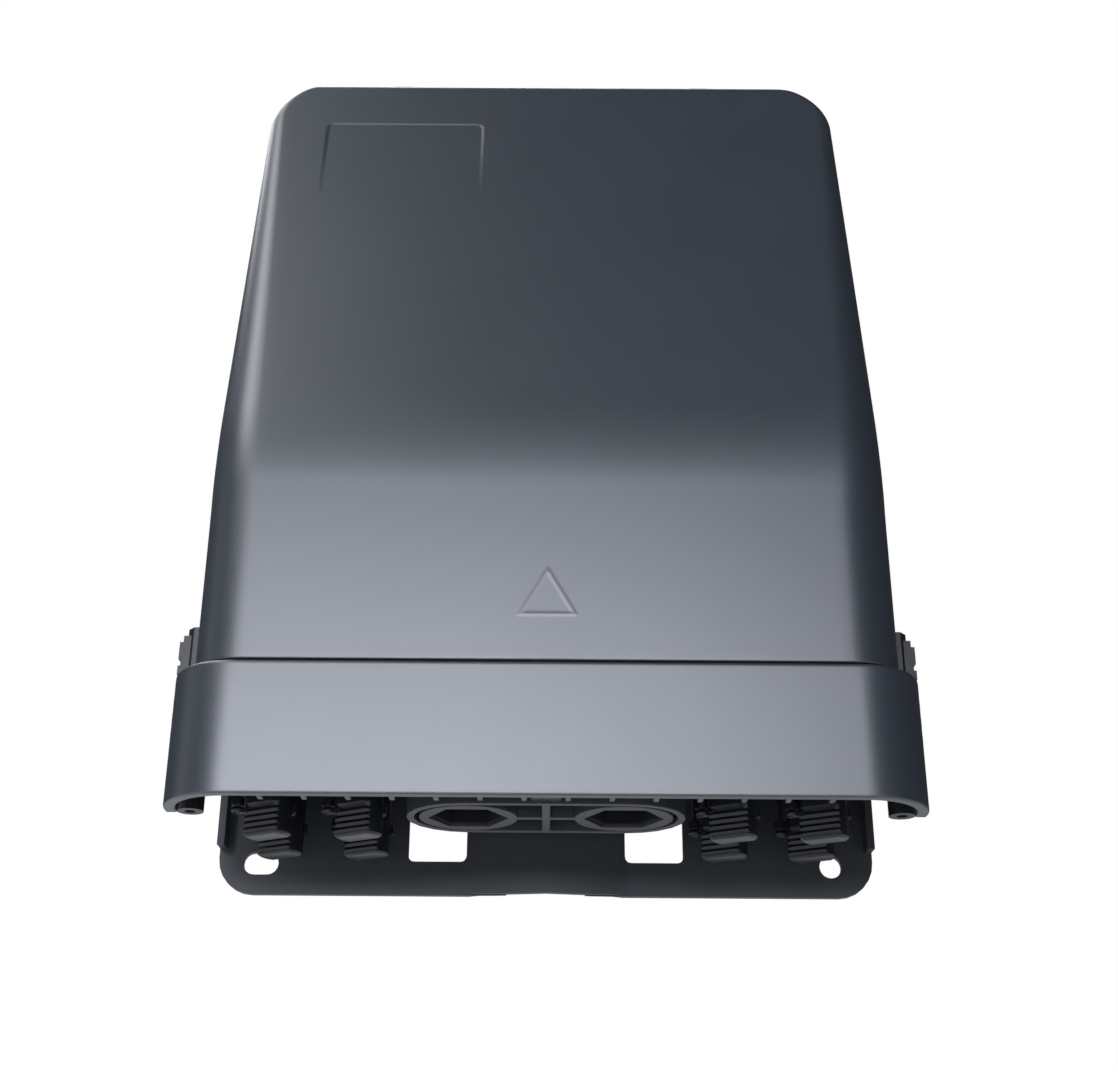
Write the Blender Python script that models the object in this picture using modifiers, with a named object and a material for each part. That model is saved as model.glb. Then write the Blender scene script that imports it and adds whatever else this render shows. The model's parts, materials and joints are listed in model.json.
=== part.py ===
"""Fibre termination box for a wall: a deep tray on a wall plate, a cover hinged at its top with a skirt round
the foot, two side clasps, eight capped drop ports and a gland block, with a hinged splice tray inside.

Sizes are in millimetres and the helpers turn them into metres. X runs to the right, +Y into the wall and
Z up. The origin is on the wall, in the middle of the wall plate's bottom edge."""

import math

import bmesh
import bpy
from mathutils import Matrix

MM = 0.001
GAP = 0.3  # between pieces that touch
RUNNING_GAP = 0.4  # between the cover and the tray it closes over

# Wall plate
PLATE_HALF_WIDTH = 110.5
PLATE_THICKNESS = 2.6
PLATE_CORNER = 12.0
FIXING_X, FIXING_Z, FIXING_RADIUS, SLOT_LENGTH = 96.3, 10.3, 3.75, 12.0
WINDOW_X, WINDOW_Z = (26.8, 46.6), (11.3, 35.0)
PLATE_TOP, PLATE_TOP_CORNER = 306.5, 14.0
TAB_HALF_WIDTH, TAB_TOP, TAB_CORNER, KEYHOLE_Z = 30.0, 322.0, 10.0, 309.5
CHANNEL_TOP = 60.0
CHANNEL_RIDGE, CHANNEL_STEP, CHANNEL_FOOT = (0.0, -7.2), ((16.4, -4.7), (23.3, -4.4)), (28.6, -2.2)

# Cover: an upright lower face, a soft bend, and an upper face that leans back
COVER_WALL = 2.6
FRONT_Y = -80.0
LID_BOTTOM, LID_TOP = 56.3, 308.3
BEND_Z, BEND_HALF_LENGTH = 133.0, 16.0
LEAN = 0.2185  # how far the upper face goes back for each millimetre of height
LID_HALF_WIDTH_LOW, LID_HALF_WIDTH_HIGH, TAPER_Z = 110.8, 107.7, 118.0
TOP_CORNER = 22.0
FRONT_TOP_EDGE = 3.5
LABEL_Z, LABEL_DEPTH = 265.5, 0.4  # middle of the shallow recess for a label
SIDE_EDGE_LOW, SIDE_EDGE_HIGH, SIDE_EDGE_Z = 17.5, 4.5, 110.0  # rounding between the front and the sides
PARTING_Y, PARTING_LEAN = -57.3, 0.125  # the cover's rear edge at the lid's bottom, and its lean

# Skirt round the foot of the cover
SKIRT_HALF_WIDTH, SKIRT_FRONT_Y, SKIRT_REAR_Y = 117.3, -80.3, -57.0
SKIRT_BOTTOM, SKIRT_TOP, SKIRT_WALL, SKIRT_CORNER = 14.0, 56.0, 3.8, 22.0
SKIRT_RIBS_A_SIDE, SKIRT_RIB_PITCH, SKIRT_RIB_THICKNESS, SKIRT_RIB_DEPTH = 7, 13.2, 1.8, 6.0
SKIRT_SCREW_X = (52.8, 92.4)
SKIRT_SCREW_Y = -72.0

# Tray behind the cover
LIP_OVERLAP = 5.0
TRAY_INSET = COVER_WALL + RUNNING_GAP
TRAY_WALL = 2.6
PORT_WALL_Z = (48.0, 52.0)

# Cover hinge along the top
HINGE_Y, HINGE_Z, HINGE_EYE, HINGE_PIN = -15.5, 313.0, 4.5, 2.0
EAR_X, LUG_X = (62.0, 68.0), (54.5, 61.5)

# Clasps on upright pins beside the skirt
CLASP_X, CLASP_Y, CLASP_EYE, CLASP_PIN = 112.6, -44.0, 4.25, 1.5
CLASP_BOTTOM, CLASP_TOP, CLASP_ARM_TOP = 17.5, 72.0, 75.0
CLASP_EARS_Z = ((30.0, 34.0), (60.0, 64.0))
GRIP_OUT, GRIP_TOP = (117.5, 118.9), (72.4, 70.6)  # the two steps of a clasp's grip
GRIP_GROOVES, GRIP_GROOVE_PITCH, GRIP_GROOVE_WIDTH = 5, 5.4, 2.2

# Drop ports and their caps
PORT_X, PORT_Y = (58.6, 87.0), (-48.0, -21.3)
ADAPTER_RADIUS = 6.3
NECK_RADIUS = 4.6
CAP_RADIUS, CAP_BOTTOM, CAP_TOP = 7.5, 8.5, 38.5
CAP_FLOOR, CAP_BORE, CAP_FLAT, CAP_GRIP_TURN = 17.5, 5.0, 6.5, 45.0
TETHER_X = -9.9

# Gland block for the two main cables
GLAND_X, GLAND_Y = 24.2, -51.6
GLAND_HALF_LENGTH, GLAND_RADIUS, GLAND_WALL = 43.5, 18.5, 2.4
GLAND_BOTTOM, GLAND_TOP, GLAND_ROOF = 14.0, 47.7, 4.0
HEX_RADIUS, BOSS_RADIUS = 12.5, 15.4
GLAND_SCREWS = ((-6.5, -41.0), (6.5, -58.8))

# Splice tray inside
SPLICE_HINGE_Y, SPLICE_HINGE_Z = -34.0, 252.0
SPLICE_HALF_WIDTH, SPLICE_BOTTOM, SPLICE_TOP = 78.0, 102.0, 246.0
SPLICE_DEPTH, SPLICE_FLOOR = 9.0, 1.8


# ---------------------------------------------------------------- scene and helpers
def clear_scene():
    for thing in list(bpy.data.objects):
        bpy.data.objects.remove(thing)


def collection(name):
    made = bpy.data.collections.new(name)
    bpy.context.scene.collection.children.link(made)
    return made


clear_scene()
PARTS = collection("fibre_termination_box")
CUTTERS = collection("cutters")
CUTTERS.hide_render = True
PLANES = {
    # (turn from the outline's own plane, the world axis that it is extruded along)
    "XY": (Matrix(((1, 0, 0), (0, 1, 0), (0, 0, 1))), 2),
    "XZ": (Matrix(((1, 0, 0), (0, 0, -1), (0, 1, 0))), 1),
    "YZ": (Matrix(((0, 0, 1), (1, 0, 0), (0, 1, 0))), 0),
}


def material(name, colour, roughness, metallic=0.0, alpha=1.0):
    made = bpy.data.materials.new(name)
    made.use_nodes = True
    shader = made.node_tree.nodes["Principled BSDF"]
    shader.inputs["Base Color"].default_value = (*colour, 1.0)
    shader.inputs["Roughness"].default_value = roughness
    shader.inputs["Metallic"].default_value = metallic
    shader.inputs["Alpha"].default_value = alpha
    made.diffuse_color = (*colour, alpha)
    return made


def from_bmesh(name, shape):
    mesh = bpy.data.meshes.new(name)
    shape.to_mesh(mesh)
    shape.free()
    return bpy.data.objects.new(name, mesh)


def face_outwards(shape):
    bmesh.ops.recalc_face_normals(shape, faces=shape.faces)
    if shape.calc_volume(signed=True) < 0:
        bmesh.ops.reverse_faces(shape, faces=shape.faces)


def box(name, low, high):
    shape = bmesh.new()
    bmesh.ops.create_cube(shape, size=1.0)
    for vert in shape.verts:
        vert.co = [(low[i] + (high[i] - low[i]) * (vert.co[i] + 0.5)) * MM for i in range(3)]
    return from_bmesh(name, shape)


def rod(name, centre, radius, length, axis="Z", sides=24, end_radius=None):
    """A round bar, or a cone, starting at centre and running along axis."""
    shape = bmesh.new()
    end_radius = radius if end_radius is None else end_radius
    bmesh.ops.create_cone(
        shape,
        cap_ends=True,
        segments=sides,
        radius1=radius * MM,
        radius2=end_radius * MM,
        depth=length * MM,
        matrix=Matrix.Translation((0, 0, length / 2 * MM)),
    )
    quarter = math.pi / 2
    turn = {"X": Matrix.Rotation(quarter, 4, "Y"), "Y": Matrix.Rotation(-quarter, 4, "X"), "Z": Matrix()}
    shape.transform(Matrix.Translation([value * MM for value in centre]) @ turn[axis])
    return from_bmesh(name, shape)


def arc(centre, radius, start, end, steps=6):
    """Points along an arc whose angles are in degrees."""
    points = []
    for i in range(steps + 1):
        angle = math.radians(start + (end - start) * i / steps)
        points.append((centre[0] + radius * math.cos(angle), centre[1] + radius * math.sin(angle)))
    return points


def circle(centre, radius, sides=24, first=0.0):
    return arc(centre, radius, first, first + 360, sides)[:-1]


def rounded(left, bottom, right, top, low_corner, high_corner=None, steps=5):
    """An upright rectangle's outline with rounded corners, which may differ at the bottom and the top."""
    high_corner = low_corner if high_corner is None else high_corner
    return (
        arc((right - low_corner, bottom + low_corner), low_corner, -90, 0, steps)
        + arc((right - high_corner, top - high_corner), high_corner, 0, 90, steps)
        + arc((left + high_corner, top - high_corner), high_corner, 90, 180, steps)
        + arc((left + low_corner, bottom + low_corner), low_corner, 180, 270, steps)
    )


def slab(name, plane, outlines, low, high):
    """A flat outline, with any holes after it, extruded from low to high across its plane."""
    curve = bpy.data.curves.new(name, "CURVE")
    curve.dimensions = "2D"
    curve.fill_mode = "BOTH"
    curve.extrude = (high - low) / 2 * MM
    for outline in outlines:
        spline = curve.splines.new("POLY")
        spline.points.add(len(outline) - 1)
        for point, (across, up) in zip(spline.points, outline):
            point.co = (across * MM, up * MM, 0, 1)
        spline.use_cyclic_u = True
    guide = bpy.data.objects.new(name + "_outline", curve)
    CUTTERS.objects.link(guide)
    mesh = bpy.data.meshes.new_from_object(guide.evaluated_get(bpy.context.evaluated_depsgraph_get()))
    bpy.data.objects.remove(guide)
    bpy.data.curves.remove(curve)
    turn, axis = PLANES[plane]
    place = turn.to_4x4()
    place.translation[axis] = (low + high) / 2 * MM
    shape = bmesh.new()
    shape.from_mesh(mesh)
    bpy.data.meshes.remove(mesh)
    bmesh.ops.remove_doubles(shape, verts=shape.verts, dist=1e-6)
    bmesh.ops.dissolve_limit(shape, angle_limit=1e-3, verts=shape.verts, edges=shape.edges)
    shape.transform(place)
    face_outwards(shape)
    return from_bmesh(name, shape)


def turned(name, profile, sides=24):
    """A body of revolution about Z, from (radius, height) points that run down its outer side."""
    shape = bmesh.new()
    points = [shape.verts.new((radius * MM, 0, height * MM)) for radius, height in profile]
    for first, second in zip(points, points[1:]):
        shape.edges.new((first, second))
    if profile[0][0] > 0:
        shape.edges.new((points[-1], points[0]))
    piece = from_bmesh(name, shape)
    screw = piece.modifiers.new("turn", "SCREW")
    screw.steps = sides
    screw.render_steps = sides
    screw.use_merge_vertices = True
    screw.merge_threshold = 1e-6
    return piece


def combine(piece, operation, tools):
    for tool in tools:
        CUTTERS.objects.link(tool)
        tool.hide_render = True
        tool.display_type = "WIRE"
        tool.parent = piece
        boolean = piece.modifiers.new(tool.name, "BOOLEAN")
        boolean.operation = operation
        boolean.solver = "EXACT"
        boolean.object = tool


def add(piece, *others):
    combine(piece, "UNION", others)


def cut(piece, *cutters):
    combine(piece, "DIFFERENCE", cutters)


def keep(piece, finish, smooth=35.0):
    """Puts a finished piece among the parts, with its material, and shades its round faces smooth."""
    PARTS.objects.link(piece)
    piece.data.materials.clear()
    piece.data.materials.append(finish)
    piece.data.shade_smooth()
    piece.data.set_sharp_from_angle(angle=math.radians(smooth))
    return piece


def settled(piece):
    """The mesh that a piece's modifiers make, for pieces that are used more than once."""
    CUTTERS.objects.link(piece)
    mesh = bpy.data.meshes.new_from_object(piece.evaluated_get(bpy.context.evaluated_depsgraph_get()))
    mesh.name = piece.name
    for tool in list(piece.children):
        bpy.data.objects.remove(tool)
    bpy.data.objects.remove(piece)
    return mesh


def copies(mesh, names_and_places, finish):
    """One object for each place, sharing one mesh."""
    made = []
    for name, place in names_and_places:
        piece = bpy.data.objects.new(name, mesh)
        piece.location = [value * MM for value in place]
        made.append(keep(piece, finish))
    return made


def mirrored(mesh, name):
    """The same mesh for the other side of X = 0."""
    shape = bmesh.new()
    shape.from_mesh(mesh)
    shape.transform(Matrix.Scale(-1, 4, (1, 0, 0)))
    bmesh.ops.reverse_faces(shape, faces=shape.faces)
    other = bpy.data.meshes.new(name)
    shape.to_mesh(other)
    shape.free()
    return other


def hang_on(name, place, pieces):
    """An empty on a joint's axis, which carries the pieces that move about it."""
    pivot = bpy.data.objects.new(name, None)
    pivot.location = [value * MM for value in place]
    pivot.empty_display_size = 0.01
    PARTS.objects.link(pivot)
    back = Matrix.Translation(pivot.location).inverted()
    for piece in pieces:
        piece.parent = pivot
        piece.matrix_parent_inverse = back


# ---------------------------------------------------------------- the cover's form
def lid_half_width(z):
    if z <= TAPER_Z:
        return LID_HALF_WIDTH_LOW
    share = (z - TAPER_Z) / (LID_TOP - TAPER_Z)
    return LID_HALF_WIDTH_LOW + (LID_HALF_WIDTH_HIGH - LID_HALF_WIDTH_LOW) * share


def lid_front(z):
    """Y of the front face: upright, then a parabola through the bend, then leaning back."""
    start, end = BEND_Z - BEND_HALF_LENGTH, BEND_Z + BEND_HALF_LENGTH
    if z <= start:
        return FRONT_Y
    if z < end:
        return FRONT_Y + LEAN * (z - start) ** 2 / (2 * (end - start))
    return FRONT_Y + LEAN * (z - BEND_Z)


def parting_y(z):
    return PARTING_Y + PARTING_LEAN * (z - LID_BOTTOM)


def rim_y(z):
    return parting_y(z) - LIP_OVERLAP


def side_edge(z):
    share = max(0.0, (z - SIDE_EDGE_Z) / (LID_TOP - SIDE_EDGE_Z))
    return SIDE_EDGE_LOW + (SIDE_EDGE_HIGH - SIDE_EDGE_LOW) * share


def case_outline(inset, bottom):
    """The cover's outline from the front, inset: upright sides, a slight taper and round shoulders."""
    shoulder = LID_TOP - TOP_CORNER
    across = lid_half_width(shoulder) - TOP_CORNER
    low = LID_HALF_WIDTH_LOW - inset
    right = [(low, bottom), (low, TAPER_Z)] + arc((across, shoulder), TOP_CORNER - inset, 0, 90, 8)
    return right + [(-x, z) for x, z in reversed(right)]


def lid_levels():
    """(height, half-width, front) of each section, which close together round the shoulders."""
    levels = []
    bend_low, bend_high = BEND_Z - BEND_HALF_LENGTH, BEND_Z + BEND_HALF_LENGTH
    shoulder = LID_TOP - TOP_CORNER
    bend = [bend_low + (bend_high - bend_low) * i / 4 for i in range(5)]
    heights = [LID_BOTTOM, 86.0] + bend + [190.0, 240.0]
    for z in heights:
        levels.append((z, lid_half_width(z), lid_front(z)))
    across = lid_half_width(shoulder) - TOP_CORNER
    for i in range(9):
        angle = math.radians(90 * i / 8)
        z = shoulder + TOP_CORNER * math.sin(angle)
        past = max(0.0, z - (LID_TOP - FRONT_TOP_EDGE))
        back = FRONT_TOP_EDGE - math.sqrt(max(0.0, FRONT_TOP_EDGE**2 - past**2))
        levels.append((z, across + TOP_CORNER * math.cos(angle), lid_front(z) + back))
    return levels


def lid_section(z, half_width, front, steps=5):
    radius = min(side_edge(z), half_width)
    rear = parting_y(z)
    left = [(-half_width, rear)] + arc((-half_width + radius, front + radius), radius, 180, 270, steps)
    whole = left + [(-x, y) for x, y in reversed(left)]
    return [(x, y, z) for x, y in whole]


def hinge_eye(y_root, z_root, z_top, steps=10):
    """A lug's outline in Y and Z: a round eye on the hinge's axis, drawn out to a root on the top wall."""
    eye = arc((HINGE_Y, HINGE_Z), HINGE_EYE, -60, 110, steps)
    return eye + [(y_root[0], z_top), (y_root[0], z_root), (y_root[1], z_root)]


def cover_lid(finish):
    shape = bmesh.new()
    rows = []
    for level in lid_levels():
        rows.append([shape.verts.new([value * MM for value in point]) for point in lid_section(*level)])
    for lower, upper in zip(rows, rows[1:]):
        for i in range(len(lower) - 1):
            shape.faces.new((lower[i], lower[i + 1], upper[i + 1], upper[i]))
    shape.faces.new(rows[-1])
    lid = from_bmesh("cover_lid", shape)
    wall = lid.modifiers.new("wall", "SOLIDIFY")
    wall.thickness = COVER_WALL * MM
    wall.offset = -1
    wall.use_even_offset = True
    lean = math.atan(LEAN)
    for side in (-1, 1):
        low, high = sorted((side * LUG_X[0], side * LUG_X[1]))
        lug_outline = hinge_eye((-38.0, -27.5), LID_TOP - 1.4, LID_TOP + 1.6)
        add(lid, slab(f"lug_{side}", "YZ", [lug_outline], low, high))
        for i, x in enumerate(SKIRT_SCREW_X):
            foot = (side * x, SKIRT_SCREW_Y - 1.5, LID_BOTTOM)
            add(lid, rod(f"boss_{side}_{i}", foot, 4.2, 10.0, sides=16))
    for side in (-1, 1):
        start = side * (LUG_X[0] - 1) if side > 0 else -(LUG_X[1] + 1)
        cut(lid, rod(f"lug_bore_{side}", (start, HINGE_Y, HINGE_Z), HINGE_PIN + GAP, 9.0, "X", 16))
        for i, x in enumerate(SKIRT_SCREW_X):
            foot = (side * x, SKIRT_SCREW_Y, LID_BOTTOM - 1)
            cut(lid, rod(f"boss_bore_{side}_{i}", foot, 1.5, 9.0, sides=12))
    # a shallow label recess high on the left, lying in the leaning face
    recess = box("label_recess", (-85.5, -3.0, -20.5), (-25.4, LABEL_DEPTH, 20.5))
    recess.data.transform(Matrix.Rotation(-lean, 4, "X"))
    recess.data.transform(Matrix.Translation((0, lid_front(LABEL_Z) * MM, LABEL_Z * MM)))
    cut(lid, recess)
    return keep(lid, finish)


# ---------------------------------------------------------------- skirt
def skirt_outline(inset, rear):
    """The skirt from above: a front between two round corners, open to the rear."""
    radius = SKIRT_CORNER - inset
    centre = (-SKIRT_HALF_WIDTH + SKIRT_CORNER, SKIRT_FRONT_Y + SKIRT_CORNER)
    left = [(-SKIRT_HALF_WIDTH + inset, rear)] + arc(centre, radius, 180, 270, 8)
    return left + [(-x, y) for x, y in reversed(left)]


def cover_skirt(finish):
    skirt = slab("cover_skirt", "XY", [skirt_outline(0, SKIRT_REAR_Y)], SKIRT_BOTTOM, SKIRT_TOP)
    inside = skirt_outline(SKIRT_WALL, -40)
    hollow = slab("skirt_hollow", "XY", [inside], SKIRT_BOTTOM - 5, SKIRT_TOP - SKIRT_WALL)
    cut(skirt, hollow)
    tray_way = LID_HALF_WIDTH_LOW - TRAY_INSET + RUNNING_GAP
    cut(skirt, box("tray_way", (-tray_way, -66.6, 40), (tray_way, -40, 70)))
    inner = SKIRT_FRONT_Y + SKIRT_WALL
    for i in range(2 * SKIRT_RIBS_A_SIDE):
        x = SKIRT_RIB_PITCH * (i - SKIRT_RIBS_A_SIDE + 0.5)
        low = (x - SKIRT_RIB_THICKNESS / 2, inner - 1, SKIRT_BOTTOM + 0.6)
        high = (x + SKIRT_RIB_THICKNESS / 2, inner + SKIRT_RIB_DEPTH, SKIRT_TOP - 2)
        add(skirt, box(f"rib_{i}", low, high))
    for side in (-1, 1):
        for i, x in enumerate(SKIRT_SCREW_X):
            cut(skirt, rod(f"screw_way_{side}_{i}", (side * x, SKIRT_SCREW_Y, 50), 1.6, 8.0, sides=12))
    return keep(skirt, finish)


# ---------------------------------------------------------------- base housing
def plate_outline():
    """The wall plate from the front, with the hanging tab in the middle of its top edge."""
    low = (PLATE_HALF_WIDTH - PLATE_CORNER, PLATE_CORNER)
    high = (PLATE_HALF_WIDTH - PLATE_TOP_CORNER, PLATE_TOP - PLATE_TOP_CORNER)
    tab = (TAB_HALF_WIDTH - TAB_CORNER, TAB_TOP - TAB_CORNER)
    right = arc(low, PLATE_CORNER, -90, 0) + arc(high, PLATE_TOP_CORNER, 0, 90)
    right += [(TAB_HALF_WIDTH, PLATE_TOP + 1)] + arc(tab, TAB_CORNER, 0, 90)
    return right + [(-x, z) for x, z in reversed(right)]


def fixing_outlines():
    """A slot at the left, which takes up the drilling's error, a round hole and a keyhole on top."""
    half = SLOT_LENGTH / 2 - FIXING_RADIUS
    left = arc((-FIXING_X + half, FIXING_Z), FIXING_RADIUS, -90, 90, 8)
    left += arc((-FIXING_X - half, FIXING_Z), FIXING_RADIUS, 90, 270, 8)
    keyhole = arc((0, KEYHOLE_Z), 5, 120, 420, 14) + arc((0, KEYHOLE_Z + 6), 2.5, 0, 180, 8)
    return [left, circle((FIXING_X, FIXING_Z), FIXING_RADIUS, 20), keyhole]


def channel_outline(back, spread):
    """The stiffening channel up the foot of the plate, from above: two steps and a ridge down the middle."""
    right = [CHANNEL_RIDGE, CHANNEL_STEP[0], (CHANNEL_STEP[1][0] - spread / 2, CHANNEL_STEP[1][1])]
    right.append((CHANNEL_FOOT[0] - spread, CHANNEL_FOOT[1]))
    right = [(x, y + back) for x, y in right] + [(CHANNEL_FOOT[0] - spread, 0.9 if back else -1.2)]
    return [(-x, y) for x, y in reversed(right[1:])] + right


def base_housing(finish):
    tray_floor = -PLATE_THICKNESS
    base = slab("base_housing", "XZ", [plate_outline()] + fixing_outlines(), tray_floor, 0)
    add(base, slab("channel", "XY", [channel_outline(0, 0)], GAP, CHANNEL_TOP))
    walls = [case_outline(TRAY_INSET, PORT_WALL_Z[0]), case_outline(TRAY_INSET + TRAY_WALL, PORT_WALL_Z[1])]
    tray = slab("tray_walls", "XZ", walls, -70, tray_floor + 1)
    past_rim = [(rim_y(40), 40), (-90, 40), (-90, 320), (rim_y(320), 320)]
    cut(tray, slab("past_rim", "YZ", [past_rim], -120, 120))
    add(base, tray)
    tray_out = LID_HALF_WIDTH_LOW - TRAY_INSET
    for side in (-1, 1):
        name = "left" if side < 0 else "right"
        strip = sorted((side * (PLATE_HALF_WIDTH - 0.2), side * (PLATE_HALF_WIDTH - 2.6)))
        add(base, box(f"edge_flange_{name}", (strip[0], -10, 15), (strip[1], tray_floor + 1, 278)))
        cheek = sorted((side * (tray_out - 0.25), side * (tray_out - TRAY_WALL + 0.25)))
        add(base, box(f"cheek_{name}", (cheek[0], -58, 28), (cheek[1], -30, 50)))
        for i, (low, high) in enumerate(CLASP_EARS_Z):
            eye = arc((CLASP_X, CLASP_Y), CLASP_EYE - 0.15, -90, 90, 8)
            ear = [(tray_out - 1, CLASP_Y - 4.1)] + eye + [(tray_out - 1, CLASP_Y + 4.1)]
            pin_way = circle((CLASP_X, CLASP_Y), CLASP_PIN + GAP, 14)
            outlines = [[(side * x, y) for x, y in loop] for loop in (ear, pin_way)]
            add(base, slab(f"clasp_ear_{name}_{i}", "XY", outlines, low, high))
        low, high = sorted((side * EAR_X[0], side * EAR_X[1]))
        eye = arc((HINGE_Y, HINGE_Z), HINGE_EYE, 0, 180, 10)
        ear = eye + [(HINGE_Y - HINGE_EYE, HINGE_Z - 10), (HINGE_Y + HINGE_EYE, HINGE_Z - 10)]
        pin_way = circle((HINGE_Y, HINGE_Z), HINGE_PIN + GAP, 16)
        add(base, slab(f"hinge_ear_{name}", "YZ", [ear, pin_way], low, high))
        near, far = sorted(side * x for x in WINDOW_X)
        window = rounded(near, WINDOW_Z[0], far, WINDOW_Z[1], 2.0, steps=3)
        cut(base, slab(f"window_{name}", "XZ", [window], -12, 5))
        for x in PORT_X:
            for y in PORT_Y:
                cut(base, rod(f"port_{name}_{x}_{y}", (side * x, y, 44), ADAPTER_RADIUS + GAP, 12, sides=24))
        cut(base, rod(f"gland_way_{name}", (side * GLAND_X, GLAND_Y, 44), 9.5, 12, sides=24))
    cut(base, slab("channel_back", "XY", [channel_outline(PLATE_THICKNESS, 2.0)], -2, CHANNEL_TOP - 3))
    for i, (x, y) in enumerate(GLAND_SCREWS):
        cut(base, rod(f"gland_screw_way_{i}", (x, y, 44), 1.7, 12, sides=12))
    for boolean in base.modifiers:
        boolean.solver = "MANIFOLD"  # where so many walls meet, the exact solver leaves open edges
    return keep(base, finish)


# ---------------------------------------------------------------- gland block, seals and drop ports
def stadium(inset, steps=10):
    centre = GLAND_HALF_LENGTH - GLAND_RADIUS
    radius = GLAND_RADIUS - inset
    return arc((centre, GLAND_Y), radius, -90, 90, steps) + arc((-centre, GLAND_Y), radius, 90, 270, steps)


def gland_block(finish):
    block = slab("cable_gland_block", "XY", [stadium(0), stadium(GLAND_WALL)], GLAND_BOTTOM, GLAND_TOP)
    ways = [circle((x, GLAND_Y), 9.0, 24) for x in (-GLAND_X, GLAND_X)]
    ways += [circle(place, 1.7, 12) for place in GLAND_SCREWS]
    add(block, slab("roof", "XY", [stadium(0.5)] + ways, GLAND_TOP - GLAND_ROOF, GLAND_TOP))
    for side in (-1, 1):
        centre = (side * GLAND_X, GLAND_Y)
        loops = [circle(centre, BOSS_RADIUS, 28), circle(centre, HEX_RADIUS, 6)]
        add(block, slab(f"boss_{side}", "XY", loops, GLAND_BOTTOM, GLAND_TOP - GLAND_ROOF + 1))
    front, rear = GLAND_Y - GLAND_RADIUS + 1, GLAND_Y + GLAND_RADIUS - 1
    add(block, box("web_across", (-1.3, front, GLAND_BOTTOM), (1.3, rear, GLAND_TOP - 2)))
    add(block, box("web_along", (-10, GLAND_Y - 1.3, GLAND_BOTTOM), (10, GLAND_Y + 1.3, GLAND_TOP - 2)))
    add(block, box("front_tab", (-4.6, -74.6, GLAND_BOTTOM + 1), (4.6, front + 0.5, GLAND_BOTTOM + 18)))
    return keep(block, finish)


def port_seals(finish):
    for name, x in (("left", -GLAND_X), ("right", GLAND_X)):
        seal = slab(f"port_seal_{name}", "XY", [circle((x, GLAND_Y), HEX_RADIUS - 0.4, 6)], 30, 43.4)
        cut(seal, rod("seal_dish", (x, GLAND_Y, 29), 8.5, 3.0, sides=24, end_radius=6.0))
        keep(seal, finish)


def drop_places():
    """(number, X, Y) of each drop port, from left to right, the front row first in each pair."""
    columns = [-PORT_X[1], -PORT_X[0], PORT_X[0], PORT_X[1]]
    return [(2 * i + j + 1, x, y) for i, x in enumerate(columns) for j, y in enumerate(PORT_Y)]


def drop_adapters(finish):
    low, high = PORT_WALL_Z
    flange_top = low - GAP
    body = [(2.2, high + 9), (5.4, high + 9), (5.4, high + 2)]
    body += [(ADAPTER_RADIUS, high + 1), (ADAPTER_RADIUS, flange_top)]
    flange = [(8.4, flange_top), (8.4, flange_top - 3)]
    neck = [(NECK_RADIUS, flange_top - 3), (NECK_RADIUS, 18.4), (2.2, 18.4)]
    mesh = settled(turned("drop_adapter", body + flange + neck, 14))
    return copies(mesh, [(f"drop_adapter_{n}", (x, y, 0)) for n, x, y in drop_places()], finish)


def dust_caps(finish):
    """A bayonet cap for each port, with two flats to grip it by and an eyelet for its tether."""
    profile = [(0, CAP_TOP), (CAP_RADIUS - 0.6, CAP_TOP), (CAP_RADIUS, CAP_TOP - 0.6)]
    profile += [(CAP_RADIUS, CAP_BOTTOM + 1.6), (CAP_RADIUS - 1.6, CAP_BOTTOM), (0, CAP_BOTTOM)]
    cap = turned("dust_cap", profile, 16)
    cut(cap, rod("cap_bore", (0, 0, CAP_FLOOR), CAP_BORE, 30, sides=14))
    for side in (-1, 1):
        low, high = sorted((side * CAP_FLAT, side * 10.0))
        flat = box(f"pinch_flat_{side}", (low, -9, CAP_BOTTOM + 2.5), (high, 9, CAP_BOTTOM + 19.5))
        flat.data.transform(Matrix.Rotation(math.radians(CAP_GRIP_TURN), 4, "Z"))
        cut(cap, flat)
    ring = [circle((TETHER_X, 0), 2.3, 12), circle((TETHER_X, 0), 1.2, 10)]
    add(cap, box("eyelet_arm", (-8.4, -0.9, 16.2), (-6.0, 0.9, 17.8)))
    add(cap, slab("eyelet", "XY", ring, 16.0, 18.0))
    add(cap, box("thumb_bump", (6.6, -1.2, 15.5), (8.6, 1.2, 19.0)))
    mesh = settled(cap)
    return copies(mesh, [(f"dust_cap_{n}", (x, y, 0)) for n, x, y in drop_places()], finish)


def cap_tethers(finish):
    """A collar that turns on the port's neck, and a strap down to beside the cap's eyelet."""
    low, high = CAP_TOP + 0.6, CAP_TOP + 2.4
    collar = [circle((0, 0), 6.6, 16), circle((0, 0), NECK_RADIUS + 0.5, 12)]
    tether = slab("cap_tether", "XY", collar, low, high)
    inner_edge = [(-6.0, low), (-9.0, low - 1.2), (-9.0, 20.0)]
    outer_edge = [(-10.2, 20.0), (-10.2, high - 1.2), (-9.0, high - 0.1), (-6.0, high - 0.1)]
    add(tether, slab("strap", "XZ", [inner_edge + outer_edge], -1.3, 1.3))
    add(tether, slab("strap_foot", "XY", [circle((TETHER_X, 0), 2.0, 10)], 18.4, 21.0))
    mesh = settled(tether)
    return copies(mesh, [(f"cap_tether_{n}", (x, y, 0)) for n, x, y in drop_places()], finish)


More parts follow.
